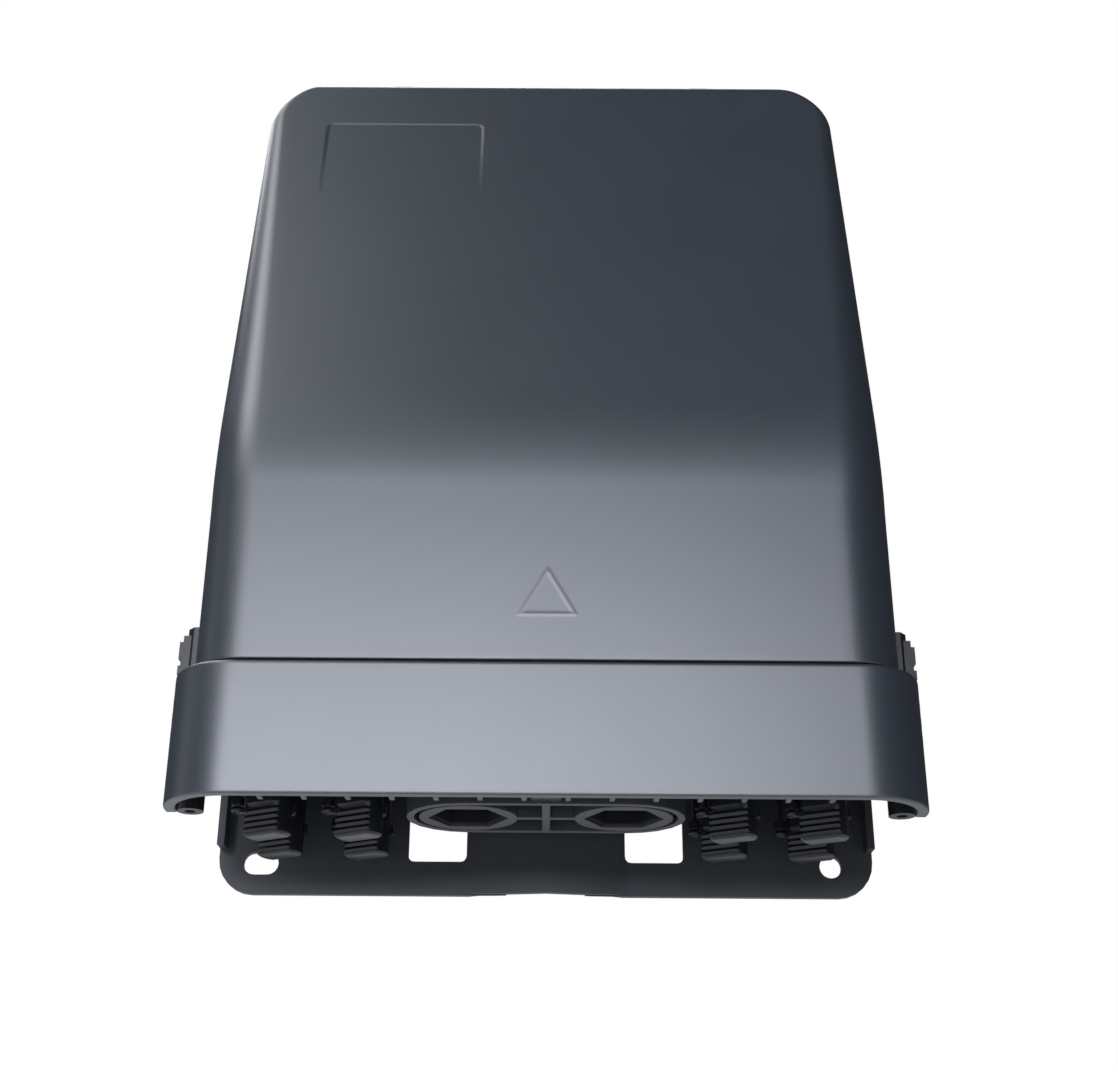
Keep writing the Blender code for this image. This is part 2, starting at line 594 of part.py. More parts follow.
# ---------------------------------------------------------------- fasteners and pins
def pan_screw(name, head_radius, head_height, shank_radius, length, sides=12):
    """A slotted pan-head screw that points up, with the underside of its head at z = 0."""
    profile = [(0, length), (shank_radius, length - 1.0), (shank_radius, 0), (head_radius, 0)]
    profile += [(head_radius, -head_height * 0.6), (head_radius * 0.8, -head_height), (0, -head_height)]
    screw = turned(name, profile, sides)
    half, deep = head_radius + 1, head_height * 0.5
    cut(screw, box("drive_slot", (-0.4, -half, -head_height - 1), (0.4, half, -head_height + deep)))
    return settled(screw)


def skirt_and_gland_screws(finish):
    under_deck = SKIRT_TOP - SKIRT_WALL - GAP
    mesh = pan_screw("skirt_screw", 2.7, 1.9, 1.2, 10.5)
    places = [(x, SKIRT_SCREW_Y, under_deck) for x in (-SKIRT_SCREW_X[1], -SKIRT_SCREW_X[0], *SKIRT_SCREW_X)]
    skirt = copies(mesh, [(f"skirt_screw_{i + 1}", place) for i, place in enumerate(places)], finish)
    mesh = pan_screw("gland_screw", 3.2, 2.2, 1.4, 10.0)
    under_roof = GLAND_TOP - GLAND_ROOF - GAP
    places = [(x, y, under_roof) for x, y in GLAND_SCREWS]
    copies(mesh, [(f"gland_screw_{i + 1}", place) for i, place in enumerate(places)], finish)
    return skirt


def pins(finish):
    for name, side in (("left", -1), ("right", 1)):
        start = LUG_X[0] - 0.6 if side > 0 else -(EAR_X[1] + 1.6)
        keep(rod(f"hinge_pin_{name}", (start, HINGE_Y, HINGE_Z), HINGE_PIN, 15.7, "X", 16), finish)
        foot, length = (side * CLASP_X, CLASP_Y, CLASP_BOTTOM + 2), CLASP_TOP - CLASP_BOTTOM - 4
        keep(rod(f"clasp_pin_{name}", foot, CLASP_PIN, length, sides=14), finish)


# ---------------------------------------------------------------- clasps
def clasp_mesh():
    """The right clasp: a barrel on the pin, an arm forward beside the cover, and a stepped, ribbed grip."""
    barrel = [circle((CLASP_X, CLASP_Y), CLASP_EYE, 20), circle((CLASP_X, CLASP_Y), CLASP_PIN + GAP, 14)]
    clasp = slab("clasp", "XY", barrel, CLASP_BOTTOM, CLASP_TOP)
    arm = [(111.2, -56.5), (114.2, -56.5), (116.4, -54.0), (116.4, -44.0), (114.5, -44.0), (113.5, -47.0)]
    arm += [(111.4, -47.6)]
    add(clasp, slab("arm", "XY", [arm], CLASP_BOTTOM + 4, CLASP_ARM_TOP))
    add(clasp, box("grip_low", (115.0, -55.5, 33.0), (GRIP_OUT[0], -45.0, GRIP_TOP[0])))
    add(clasp, box("grip_high", (117.0, -54.5, 38.0), (GRIP_OUT[1], -46.5, GRIP_TOP[1])))
    for i in range(GRIP_GROOVES):
        z = 41.0 + GRIP_GROOVE_PITCH * i
        groove = (GRIP_OUT[1] - 0.8, -58, z), (GRIP_OUT[1] + 1, -40, z + GRIP_GROOVE_WIDTH)
        cut(clasp, box(f"grip_groove_{i}", *groove))
    for i, (low, high) in enumerate(CLASP_EARS_Z):
        way = high - low + 2 * GAP
        cut(clasp, rod(f"ear_way_{i}", (CLASP_X, CLASP_Y, low - GAP), CLASP_EYE + 0.35, way, sides=24))
    return settled(clasp)


def clasps(finish):
    right = clasp_mesh()
    for name, side, mesh in (("right", 1, right), ("left", -1, mirrored(right, "clasp_left"))):
        piece = keep(bpy.data.objects.new(f"clasp_{name}", mesh), finish)
        hang_on(f"clasp_axis_{name}", (side * CLASP_X, CLASP_Y, CLASP_BOTTOM), [piece])


# ---------------------------------------------------------------- inside
def gasket(finish):
    """A soft frame that lies in the slanted plane just ahead of the tray's rim."""
    loops = [case_outline(TRAY_INSET + 0.3, PORT_WALL_Z[0] + 0.3)]
    loops += [case_outline(TRAY_INSET + TRAY_WALL - 0.3, PORT_WALL_Z[1] - 0.3)]
    frame = slab("gasket", "XZ", loops, -72, -20)
    near, far = -GAP, -1.9
    keep_slab = [(rim_y(z) + near, z) for z in (40, 320)] + [(rim_y(z) + far, z) for z in (320, 40)]
    combine(frame, "INTERSECT", [slab("rim_plane", "YZ", [keep_slab], -120, 120)])
    return keep(frame, finish)


def fibre_parts(finishes):
    floor = -PLATE_THICKNESS - GAP
    module = slab("splitter_module", "XZ", [rounded(-50, 196, 50, 236, 2.5, steps=3)], floor - 13, floor)
    for i in range(5):
        add(module, rod(f"pigtail_boot_{i}", (-36 + 18 * i, floor - 6.5, 188), 2.2, 10, sides=12))
    keep(module, finishes["white"])
    spool_centre = (0, 142)
    drum = [circle(spool_centre, 30, 36), circle(spool_centre, 27.5, 36)]
    spool = slab("fibre_spool", "XZ", drum, floor - 14, floor)
    for i in range(4):
        turn = Matrix.Rotation(math.radians(90 * i), 4, "Y")
        finger = box(f"finger_{i}", (-5, floor - 14, 28), (5, floor - 12, 38))
        finger.data.transform(Matrix.Translation((0, 0, spool_centre[1] * MM)) @ turn)
        add(spool, finger)
    keep(spool, finishes["white"])
    for name, side in (("left", -1), ("right", 1)):
        x = side * GLAND_X
        clamp = box(f"cable_clamp_{name}", (x - 13, -12, 78), (x + 13, floor, 90))
        cut(clamp, rod("cable_way", (x, -17, 77), 7.5, 14, sides=20))
        cut(clamp, rod("screw_way", (x - 10, -13, 84), 1.5, 12, "Y", 12))
        keep(clamp, finishes["housing"])
        screw = pan_screw(f"clamp_screw_{name}", 2.4, 1.8, 1.2, 8.0)
        screw.transform(Matrix.Rotation(-math.pi / 2, 4, "X"))
        copies(screw, [(f"clamp_screw_{name}", (x - 10, -12 - GAP, 84))], finishes["steel"])


def tray_bracket(finish, steel):
    floor = -PLATE_THICKNESS - GAP
    y, z = SPLICE_HINGE_Y, SPLICE_HINGE_Z
    foot = slab("tray_bracket", "XZ", [rounded(-66, z - 9, 66, z + 9, 2, steps=3)], floor - 2.4, floor)
    for side in (-1, 1):
        arm = arc((y, z), 5, 90, 270, 8) + [(floor - 0.5, z - 7), (floor - 0.5, z + 7)]
        low, high = sorted((side * 62, side * 65))
        add(foot, slab(f"arm_{side}", "YZ", [arm, circle((y, z), 1.5 + GAP, 14)], low, high))
    keep(foot, finish)
    keep(rod("tray_hinge_pin", (-67, y, z), 1.5, 134, "X", 14), steel)


def splice_tray(finishes):
    y, z = SPLICE_HINGE_Y, SPLICE_HINGE_Z
    back, front = y + 3.5, y + 3.5 - SPLICE_DEPTH
    outline = rounded(-SPLICE_HALF_WIDTH, SPLICE_BOTTOM, SPLICE_HALF_WIDTH, SPLICE_TOP, 26, 8, 6)
    inner = SPLICE_HALF_WIDTH - SPLICE_FLOOR
    hollow_outline = rounded(-inner, SPLICE_BOTTOM + SPLICE_FLOOR, inner, SPLICE_TOP - SPLICE_FLOOR, 24, 6, 6)
    tray = slab("splice_tray", "XZ", [outline], front, back)
    cut(tray, slab("tray_hollow", "XZ", [hollow_outline], front - 2, back - SPLICE_FLOOR))
    for side in (-1, 1):
        cut(tray, rod(f"fibre_way_{side}", (side * 58, y - 12, SPLICE_BOTTOM + 34), 4, 20, "Y", 16))
    for i, x in enumerate((-52, 0, 52)):
        knuckle = arc((y, z), 3.3, 0, 180, 8) + [(y - 3.3, SPLICE_TOP - 1), (y + 3.3, SPLICE_TOP - 1)]
        add(tray, slab(f"knuckle_{i}", "YZ", [knuckle], x - 7, x + 7))
    cut(tray, rod("hinge_way", (-70, y, z), 1.5 + GAP, 140, "X", 14))
    tray = keep(tray, finishes["grey"])
    lid_outline = rounded(-SPLICE_HALF_WIDTH, SPLICE_BOTTOM, SPLICE_HALF_WIDTH, SPLICE_TOP - 2, 26, 8, 6)
    cover = keep(slab("tray_cover", "XZ", [lid_outline], front - GAP - 1.4, front - GAP), finishes["clear"])
    floor = back - SPLICE_FLOOR
    holder = box("sleeve_holder", (-24, floor - GAP - 5, 208), (24, floor - GAP, 238))
    for i in range(6):
        x = -20 + 8 * i
        cut(holder, box(f"sleeve_way_{i}", (x - 2.0, floor - 10, 200), (x + 2.0, floor - GAP - 1.2, 250)))
    holder = keep(holder, finishes["grey"])
    loop = bpy.data.curves.new("fibre_loop_path", "CURVE")
    loop.dimensions = "3D"
    loop.bevel_depth = 0.9 * MM
    loop.bevel_resolution = 2
    spline = loop.splines.new("POLY")
    path = arc((30, 166), 34, -90, 90, 14) + arc((-30, 166), 34, 90, 270, 14)
    spline.points.add(len(path) - 1)
    for point, (x, up) in zip(spline.points, path):
        point.co = (x * MM, (floor - 2.6) * MM, up * MM, 1)
    spline.use_cyclic_u = True
    fibre = keep_curve("fibre_loop", loop, finishes["fibre"])
    return [tray, cover, holder, fibre]


def keep_curve(name, curve, finish):
    piece = bpy.data.objects.new(name, curve)
    curve.materials.append(finish)
    PARTS.objects.link(piece)
    return piece


# ---------------------------------------------------------------- the whole box
def main():
    finishes = {
        "housing": material("housing_plastic", (0.048, 0.055, 0.066), 0.5),
        "cover": material("cover_plastic", (0.052, 0.059, 0.070), 0.45),
        "cap": material("cap_plastic", (0.012, 0.013, 0.015), 0.4),
        "rubber": material("seal_rubber", (0.012, 0.012, 0.013), 0.85),
        "steel": material("stainless_steel", (0.55, 0.56, 0.58), 0.3, 1.0),
        "white": material("white_plastic", (0.75, 0.76, 0.76), 0.45),
        "grey": material("tray_plastic", (0.30, 0.32, 0.34), 0.5),
        "clear": material("clear_plastic", (0.80, 0.86, 0.90), 0.15, alpha=0.35),
        "fibre": material("fibre_sheath", (0.85, 0.62, 0.08), 0.4),
    }
    base_housing(finishes["housing"])
    gland_block(finishes["housing"])
    port_seals(finishes["rubber"])
    drop_adapters(finishes["housing"])
    gasket(finishes["rubber"])
    fibre_parts(finishes)
    tray_bracket(finishes["steel"], finishes["steel"])
    pins(finishes["steel"])
    skirt_screws = skirt_and_gland_screws(finishes["steel"])
    cover = [cover_lid(finishes["cover"]), cover_skirt(finishes["cover"]), *skirt_screws]
    hang_on("cover_hinge_axis", (0, HINGE_Y, HINGE_Z), cover)
    clasps(finishes["cap"])
    dust_caps(finishes["cap"])
    cap_tethers(finishes["cap"])
    tray = splice_tray(finishes)
    hang_on("splice_hinge_axis", (0, SPLICE_HINGE_Y, SPLICE_HINGE_Z), tray)


main()
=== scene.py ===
"""The looks of a wall-hung fibre termination box: moulded charcoal shells with soft edges, ribbed bayonet
caps, steel pins and screws, and the splice tray with its fibres inside.

Lengths are in millimetres, and MM turns them into metres. X runs to the right, +Y into the wall and Z up."""

import json
import math

import bmesh
import bpy
from mathutils import Matrix, Vector


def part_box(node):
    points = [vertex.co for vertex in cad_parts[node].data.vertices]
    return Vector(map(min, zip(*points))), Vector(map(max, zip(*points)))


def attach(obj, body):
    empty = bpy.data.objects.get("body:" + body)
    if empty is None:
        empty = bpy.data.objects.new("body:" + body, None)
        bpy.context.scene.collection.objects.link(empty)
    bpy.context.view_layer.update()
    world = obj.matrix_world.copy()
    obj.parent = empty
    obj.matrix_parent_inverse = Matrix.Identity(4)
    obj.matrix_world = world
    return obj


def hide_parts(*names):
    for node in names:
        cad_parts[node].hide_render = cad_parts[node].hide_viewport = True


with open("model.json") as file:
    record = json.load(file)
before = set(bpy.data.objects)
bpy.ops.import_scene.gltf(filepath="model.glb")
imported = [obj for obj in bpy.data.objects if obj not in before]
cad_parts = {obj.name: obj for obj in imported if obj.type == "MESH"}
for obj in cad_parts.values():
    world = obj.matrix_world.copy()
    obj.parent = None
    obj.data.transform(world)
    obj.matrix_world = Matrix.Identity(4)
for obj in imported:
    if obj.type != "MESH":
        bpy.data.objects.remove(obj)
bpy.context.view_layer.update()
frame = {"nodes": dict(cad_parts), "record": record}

MM = 0.001
NODES = frame["nodes"]
RECORD = frame["record"]
BODY_OF = {node: body for body, nodes in RECORD["behaviour"]["bodies"].items() for node in nodes}
SLOT_OF = {part["node"]: part["material_slot"] for part in RECORD["subparts"]}
JOINTS = {joint["name"]: joint for joint in RECORD["behaviour"]["joints"]}


def corners(node):
    """A CAD node's lowest and highest corners, in millimetres."""
    return [Vector(corner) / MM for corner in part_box(node)]


LID_LOW, LID_HIGH = corners("cover_lid")
SKIRT_LOW, SKIRT_HIGH = corners("cover_skirt")
HINGE = Vector(JOINTS["cover_hinge"]["pos_m"]) / MM

# The cover's form: an upright lower face, a soft bend, and an upper face that leans back
LID_BOTTOM, LID_TOP = LID_LOW.z, HINGE.z - 4.7
LID_HALF_LOW, LID_HALF_HIGH, TAPER_Z = LID_HIGH.x, 107.7, 118.0
FRONT_Y, LEAN, BEND_Z, BEND_HALF = -80.0, 0.2185, 133.0, 16.0
TOP_CORNER, FRONT_TOP_EDGE, WALL = 22.0, 3.5, 2.6
SIDE_EDGE_LOW, SIDE_EDGE_HIGH, SIDE_EDGE_Z = 17.5, 4.5, 110.0
PARTING_Y, PARTING_LEAN, LIP_OVERLAP, TRAY_INSET = -57.3, 0.125, 5.0, 3.0
LUG_X, LUG_EYE, LUG_BORE = (54.5, 61.5), 4.5, 2.3
SCREW_X, SCREW_Y = (52.8, 92.4), -72.0

# Raised and sunk work on the cover's face
RECESS_X, RECESS_Z, RECESS_DEPTH, RECESS_CORNER = (-85.5, -25.4), (245.5, 285.0), 0.3, 3.0
RECESS_EDGE, RECESS_FOOT_SHARE = 1.0, 0.12
MARK_Z, MARK_SIDE, MARK_BAND, MARK_HEIGHT, MARK_EDGE = 70.6, 19.5, 1.5, 0.09, 0.45

# Skirt
SKIRT_WALL, SKIRT_CORNER, RIM_ROUND, SHOULDER_ROUND = 3.8, 22.0, 0.7, 1.3
DECK_SIDE, DECK_FRONT, DECK_FILLET = 9.1, 13.4, 1.2
RIB_COUNT, RIB_PITCH, RIB_HALF, RIB_DEPTH = 14, 13.2, 0.9, 6.0

# Dust caps and drop adapters
CAP_RADIUS, CAP_BOTTOM, CAP_TOP, CAP_FLOOR, CAP_BORE = 7.5, 8.5, 38.5, 18.1, 4.9
PADDLE_HALF, PADDLE_TOP, SHOULDER_HALF, SHOULDER_TOP = 3.5, 17.3, 5.5, 28.0
CAP_RIB_PITCH, CAP_RIB_DEPTH, CAP_RIB_STEPS, GRIP_TURN = 1.9, 0.5, 8, math.radians(60)
NO_FLAT = 9.0  # a half-thickness past the cap's radius, which leaves a ring round
TETHER_X, EYELET_Z, EYELET_RADIUS, EYELET_HALF_WIDTH, EYELET_HALF_HEIGHT = -9.9, 17.0, 1.7, 0.55, 0.9
THREAD_TOP, THREAD_PITCH, THREAD_TURNS, THREAD_CREST, THREAD_ROOT = 60.4, 0.95, 7, 5.4, 5.05

# Seals in the cable sockets
SEAL_RINGS, SEAL_RING_HALF, SEAL_RING_FOOT, SEAL_RING_CREST = (2.6, 4.4), 0.35, 2.9, 2.55
COLLAR_PROFILE = [(12.2, 29.8), (12.2, 15.2), (11.9, 14.9), (11.6, 14.9), (11.3, 15.2), (11.3, 29.8)]

# Fibres: coiled in the splice tray, spliced in its holder, and wound on the spool
COIL_RADIUS, COIL_STEP, COIL_SIDE, COIL_POINTS, COIL_WANDER = 33.4, 0.62, 29.5, 90, 0.5
SPLICE_X, SPLICE_PITCH, SPLICE_DROP = -20, 8, 2.9
SPOOL_RADIUS, SPOOL_TURNS, SPOOL_STEPS, SPOOL_LAY, SPOOL_MARGIN = 30.9, 5, 48, 1.7, 2.0
# the usual order of fibre colours, muted
FIBRE_TONES = [
    (0.05, 0.16, 0.45),
    (0.75, 0.28, 0.04),
    (0.06, 0.32, 0.10),
    (0.20, 0.09, 0.04),
    (0.32, 0.34, 0.36),
    (0.7, 0.7, 0.68),
]


# ---------------------------------------------------------------- materials
def shader_of(name, base, roughness, metallic=0.0):
    """A new material with its node tree and its shader."""
    made = bpy.data.materials.new(name)
    made.use_nodes = True
    shader = made.node_tree.nodes["Principled BSDF"]
    shader.inputs["Base Color"].default_value = (*base, 1.0)
    shader.inputs["Roughness"].default_value = roughness
    shader.inputs["Metallic"].default_value = metallic
    made.diffuse_color = (*base, 1.0)
    return made, made.node_tree, shader


def noise(tree, size, detail=2.0, stretch=(1, 1, 1)):
    """Noise whose grains are about size millimetres across, fixed to the piece."""
    place = tree.nodes.new("ShaderNodeTexCoord")
    turn = tree.nodes.new("ShaderNodeMapping")
    turn.inputs["Scale"].default_value = stretch
    cloud = tree.nodes.new("ShaderNodeTexNoise")
    cloud.inputs["Scale"].default_value = 1 / (size * MM)
    cloud.inputs["Detail"].default_value = detail
    tree.links.new(place.outputs["Object"], turn.inputs["Vector"])
    tree.links.new(turn.outputs["Vector"], cloud.inputs["Vector"])
    return cloud.outputs["Fac"]


def ranged(tree, value, low, high):
    """The middle of a noise's values, spread from low to high."""
    spread = tree.nodes.new("ShaderNodeMapRange")
    spread.inputs["From Min"].default_value = 0.25
    spread.inputs["From Max"].default_value = 0.75
    spread.inputs["To Min"].default_value = low
    spread.inputs["To Max"].default_value = high
    tree.links.new(value, spread.inputs["Value"])
    return spread.outputs["Result"]


def tinted(tree, value, low, high):
    """A colour between low and high, which follows value."""
    mix = tree.nodes.new("ShaderNodeMix")
    mix.data_type = "RGBA"
    mix.inputs["A"].default_value = (*low, 1.0)
    mix.inputs["B"].default_value = (*high, 1.0)
    tree.links.new(ranged(tree, value, 0.0, 1.0), mix.inputs["Factor"])
    return mix.outputs["Result"]


def bumped(tree, shader, heights):
    """Stacks bumps of (value, strength, depth in millimetres) on the shader's normal."""
    normal = None
    for value, strength, depth in heights:
        bump = tree.nodes.new("ShaderNodeBump")
        bump.inputs["Strength"].default_value = strength
        bump.inputs["Distance"].default_value = depth * MM
        tree.links.new(value, bump.inputs["Height"])
        if normal is not None:
            tree.links.new(normal, bump.inputs["Normal"])
        normal = bump.outputs["Normal"]
    tree.links.new(normal, shader.inputs["Normal"])


def moulded(name, colour, roughness, grain=0.45, grain_size=0.35, mottle=0.06, specular=0.5):
    """Moulded plastic: spark-eroded grain, faint flow mottling, and a sheen that varies a little."""
    made, tree, shader = shader_of(name, colour, roughness)
    shader.inputs["Specular IOR Level"].default_value = specular
    broad = noise(tree, 38, 4.0)
    fine = noise(tree, grain_size, 3.0)
    low = [value * (1 - mottle) for value in colour]
    high = [value * (1 + mottle) for value in colour]
    flow = tinted(tree, broad, low, high)
    speck = tree.nodes.new("ShaderNodeMix")
    speck.data_type = "RGBA"
    speck.blend_type = "MULTIPLY"
    speck.inputs["Factor"].default_value = 0.35
    tree.links.new(flow, speck.inputs["A"])
    tree.links.new(tinted(tree, fine, (0.72, 0.72, 0.72), (1.0, 1.0, 1.0)), speck.inputs["B"])
    tree.links.new(speck.outputs["Result"], shader.inputs["Base Color"])
    tree.links.new(ranged(tree, broad, roughness * 0.98, roughness * 1.02), shader.inputs["Roughness"])
    bumped(tree, shader, [(fine, grain, 0.05), (noise(tree, 24, 2.0), 0.02, 0.2)])
    return made


def rubbery(name, colour):
    made, tree, shader = shader_of(name, colour, 0.8)
    shader.inputs["Specular IOR Level"].default_value = 0.2
    bloom = noise(tree, 6, 5.0)
    worn = [value * 1.8 for value in colour]
    tree.links.new(tinted(tree, bloom, colour, worn), shader.inputs["Base Color"])
    tree.links.new(ranged(tree, bloom, 0.7, 0.88), shader.inputs["Roughness"])
    bumped(tree, shader, [(noise(tree, 0.5, 3.0), 0.4, 0.08)])
    return made


def brushed(name, colour):
    """Turned and drawn steel with fine marks along X and a little uneven polish."""
    made, tree, shader = shader_of(name, colour, 0.3, 1.0)
    marks = noise(tree, 0.4, 4.0, (0.04, 1, 1))
    cloud = noise(tree, 7, 4.0)
    low = [value * 0.86 for value in colour]
    tree.links.new(tinted(tree, cloud, low, colour), shader.inputs["Base Color"])
    tree.links.new(ranged(tree, marks, 0.2, 0.42), shader.inputs["Roughness"])
    bumped(tree, shader, [(marks, 0.18, 0.03)])
    return made


def clear(name, colour):
    """Clear moulded sheet: mostly open, with faint flow lines and a hard gloss."""
    made, tree, shader = shader_of(name, colour, 0.12)
    shader.inputs["Alpha"].default_value = 0.28
    shader.inputs["Coat Weight"].default_value = 0.3
    haze = noise(tree, 14, 3.0)
    tree.links.new(ranged(tree, haze, 0.08, 0.2), shader.inputs["Roughness"])
    dim = [value * 0.92 for value in colour]
    tree.links.new(tinted(tree, haze, colour, dim), shader.inputs["Base Color"])
    bumped(tree, shader, [(haze, 0.12, 0.3)])
    return made


def sheathed(name, colour):
    """Smooth extruded sheath, with a little waviness and dust."""
    made, tree, shader = shader_of(name, colour, 0.35)
    shader.inputs["Coat Weight"].default_value = 0.2
    wave = noise(tree, 3, 3.0)
    dim = [value * 0.85 for value in colour]
    tree.links.new(tinted(tree, wave, dim, colour), shader.inputs["Base Color"])
    tree.links.new(ranged(tree, wave, 0.28, 0.45), shader.inputs["Roughness"])
    bumped(tree, shader, [(wave, 0.08, 0.1)])
    return made


FINISHES = {
    "housing": moulded("housing_plastic", (0.019, 0.022, 0.027), 0.52, mottle=0.10),
    "cover": moulded(
        "cover_plastic", (0.015, 0.020, 0.027), 0.40, grain=0.30, grain_size=0.3, mottle=0.05, specular=1.0
    ),
    "adapter": moulded("adapter_plastic", (0.018, 0.020, 0.023), 0.38, grain=0.2),
    "cap": moulded(
        "cap_plastic", (0.007, 0.008, 0.010), 0.36, grain=0.25, grain_size=0.4, specular=0.4
    ),
    "clasp": moulded("clasp_plastic", (0.007, 0.008, 0.010), 0.42, grain=0.4, specular=0.4),
    # near-black seal rubber: its own dark colour, darkened further as painted shade for the shaded socket
    # pockets
    "seal": rubbery("seal_rubber", (0.004, 0.004, 0.0045)),
    "steel": brushed("stainless_steel", (0.55, 0.56, 0.58)),
    "white_plastic": moulded("white_plastic", (0.62, 0.63, 0.62), 0.42, grain=0.2, mottle=0.03),
    "tray": moulded("tray_plastic", (0.26, 0.28, 0.30), 0.45, grain=0.25, mottle=0.05),
    "clear_cover": clear("clear_plastic", (0.78, 0.84, 0.88)),
    "fibre": sheathed("fibre_sheath", (0.80, 0.55, 0.06)),
}


# ---------------------------------------------------------------- mesh helpers
def placed(name, mesh, body, slot, replaced=(), finish=None, smooth=38.0):
    """Puts a mesh in the scene, riding on its body, with its slot's finish, and hides the nodes that it
    stands for.
    """
    piece = bpy.data.objects.new(name, mesh)
    bpy.context.scene.collection.objects.link(piece)
    mesh.materials.clear()
    mesh.materials.append(finish or FINISHES[slot])
    mesh.shade_smooth()
    mesh.set_sharp_from_angle(angle=math.radians(smooth))
    flats = piece.modifiers.new("flats", "WEIGHTED_NORMAL")
    flats.keep_sharp = True
    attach(piece, body)
    if replaced:
        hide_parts(*replaced)


def mesh_of(name, shape, recalculate=True):
    """The mesh of a bmesh, which is freed, with its faces turned outwards unless they already are."""
    if recalculate:
        bmesh.ops.recalc_face_normals(shape, faces=shape.faces)
        if shape.calc_volume(signed=True) < 0:
            bmesh.ops.reverse_faces(shape, faces=shape.faces)
    mesh = bpy.data.meshes.new(name)
    shape.to_mesh(mesh)
    shape.free()
    return mesh


def settled(name, mesh, modifiers):
    """The mesh that comes out of (type, settings) modifiers."""
    guide = bpy.data.objects.new(name, mesh)
    bpy.context.scene.collection.objects.link(guide)
    for kind, settings in modifiers:
        modifier = guide.modifiers.new(kind.lower(), kind)
        for key, value in settings.items():
            setattr(modifier, key, value)
    graph = bpy.context.evaluated_depsgraph_get()
    made = bpy.data.meshes.new_from_object(guide.evaluated_get(graph))
    bpy.data.objects.remove(guide)
    made.name = name
    return made


def rounding(width, segments=3, angle=28.0):
    """A bevel of width millimetres along the edges sharper than angle degrees."""
    settings = {
        "width": width * MM,
        "segments": segments,
        "limit_method": "ANGLE",
        "angle_limit": math.radians(angle),
        "use_clamp_overlap": True,
    }
    return ("BEVEL", settings)


def clean_copy(node):
    """A copy of a CAD node's mesh with its split corners joined and its flat faces whole."""
    shape = bmesh.new()
    shape.from_mesh(NODES[node].data)
    bmesh.ops.remove_doubles(shape, verts=shape.verts, dist=2e-6)
    bmesh.ops.dissolve_limit(shape, angle_limit=2e-3, verts=shape.verts, edges=shape.edges)
    return mesh_of(node, shape, recalculate=False)


def softened(node, width, segments=3, angle=28.0):
    """Stands for a CAD node with the same form and rounded edges."""
    mesh = settled(node, clean_copy(node), [rounding(width, segments, angle)])
    placed(node + "_skin", mesh, BODY_OF[node], SLOT_OF[node], [node])


def block(shape, low, high, around=None):
    """Adds a box to shape, turned by the matrix around, and returns its corners."""
    made = bmesh.ops.create_cube(shape, size=1.0)["verts"]
    for vert in made:
        vert.co = Vector([(low[i] + (high[i] - low[i]) * (vert.co[i] + 0.5)) * MM for i in range(3)])
        if around is not None:
            vert.co = around @ vert.co
    return made


def arc(centre, radius, start, end, steps):
    """Points along a circle from one angle to another, in degrees."""
    points = []
    for i in range(steps + 1):
        angle = math.radians(start + (end - start) * i / steps)
        points.append((centre[0] + radius * math.cos(angle), centre[1] + radius * math.sin(angle)))
    return points


def spaced(low, high, step):
    """Even steps from low to high, both included, none longer than step."""
    count = max(1, math.ceil((high - low) / step))
    return [low + (high - low) * i / count for i in range(count + 1)]


def skin(shape, rows, closed=False):
    """Quads between neighbouring rows of vertices."""
    for lower, upper in zip(rows, rows[1:]):
        count = len(lower)
        for i in range(count if closed else count - 1):
            j = (i + 1) % count
            shape.faces.new((lower[i], lower[j], upper[j], upper[i]))


def turned(shape, profile, sides, centre=(0, 0, 0)):
    """Adds a surface of revolution about Z from (radius, height) points, and returns its rings."""
    rings = []
    for radius, height in profile:
        ring = []
        for i in range(sides):
            angle = 2 * math.pi * i / sides
            point = (radius * math.cos(angle), radius * math.sin(angle), height)
            ring.append(shape.verts.new([(point[k] + centre[k]) * MM for k in range(3)]))
        rings.append(ring)
    skin(shape, rings, closed=True)
    return rings


def extruded(shape, outline, low, high, hole=None):
    """Adds a prism along X from an outline in Y and Z, with an optional hole of as many points."""
    loops = []
    for x in (low, high):
        loops.append([shape.verts.new((x * MM, y * MM, z * MM)) for y, z in outline])
    count = len(outline)
    for i in range(count):
        j = (i + 1) % count
        shape.faces.new((loops[0][i], loops[0][j], loops[1][j], loops[1][i]))
    if hole is None:
        shape.faces.new(loops[0])
        shape.faces.new(list(reversed(loops[1])))
        return
    inner = []
    for x in (low, high):
        inner.append([shape.verts.new((x * MM, y * MM, z * MM)) for y, z in hole])
    for i in range(count):
        j = (i + 1) % count
        shape.faces.new((inner[0][j], inner[0][i], inner[1][i], inner[1][j]))
        shape.faces.new((loops[0][j], loops[0][i], inner[0][i], inner[0][j]))
        shape.faces.new((loops[1][i], loops[1][j], inner[1][j], inner[1][i]))


def strand(name, points, radius, body, slot, replaced=(), cyclic=False, finish=None, sides=3):
    """A round strand through points in millimetres, turned into a mesh."""
    curve = bpy.data.curves.new(name, "CURVE")
    curve.dimensions = "3D"
    curve.bevel_depth = radius * MM
    curve.bevel_resolution = sides
    curve.use_fill_caps = True
    spline = curve.splines.new("POLY")
    spline.points.add(len(points) - 1)
    for point, place in zip(spline.points, points):
        point.co = (*[value * MM for value in place], 1)
    spline.use_cyclic_u = cyclic
    guide = bpy.data.objects.new(name + "_line", curve)
    bpy.context.scene.collection.objects.link(guide)
    mesh = bpy.data.meshes.new_from_object(guide.evaluated_get(bpy.context.evaluated_depsgraph_get()))
    bpy.data.objects.remove(guide)
    shape = bmesh.new()
    shape.from_mesh(mesh)
    bmesh.ops.remove_doubles(shape, verts=shape.verts, dist=1e-6)
    placed(name, mesh_of(name, shape), body, slot, replaced, finish)


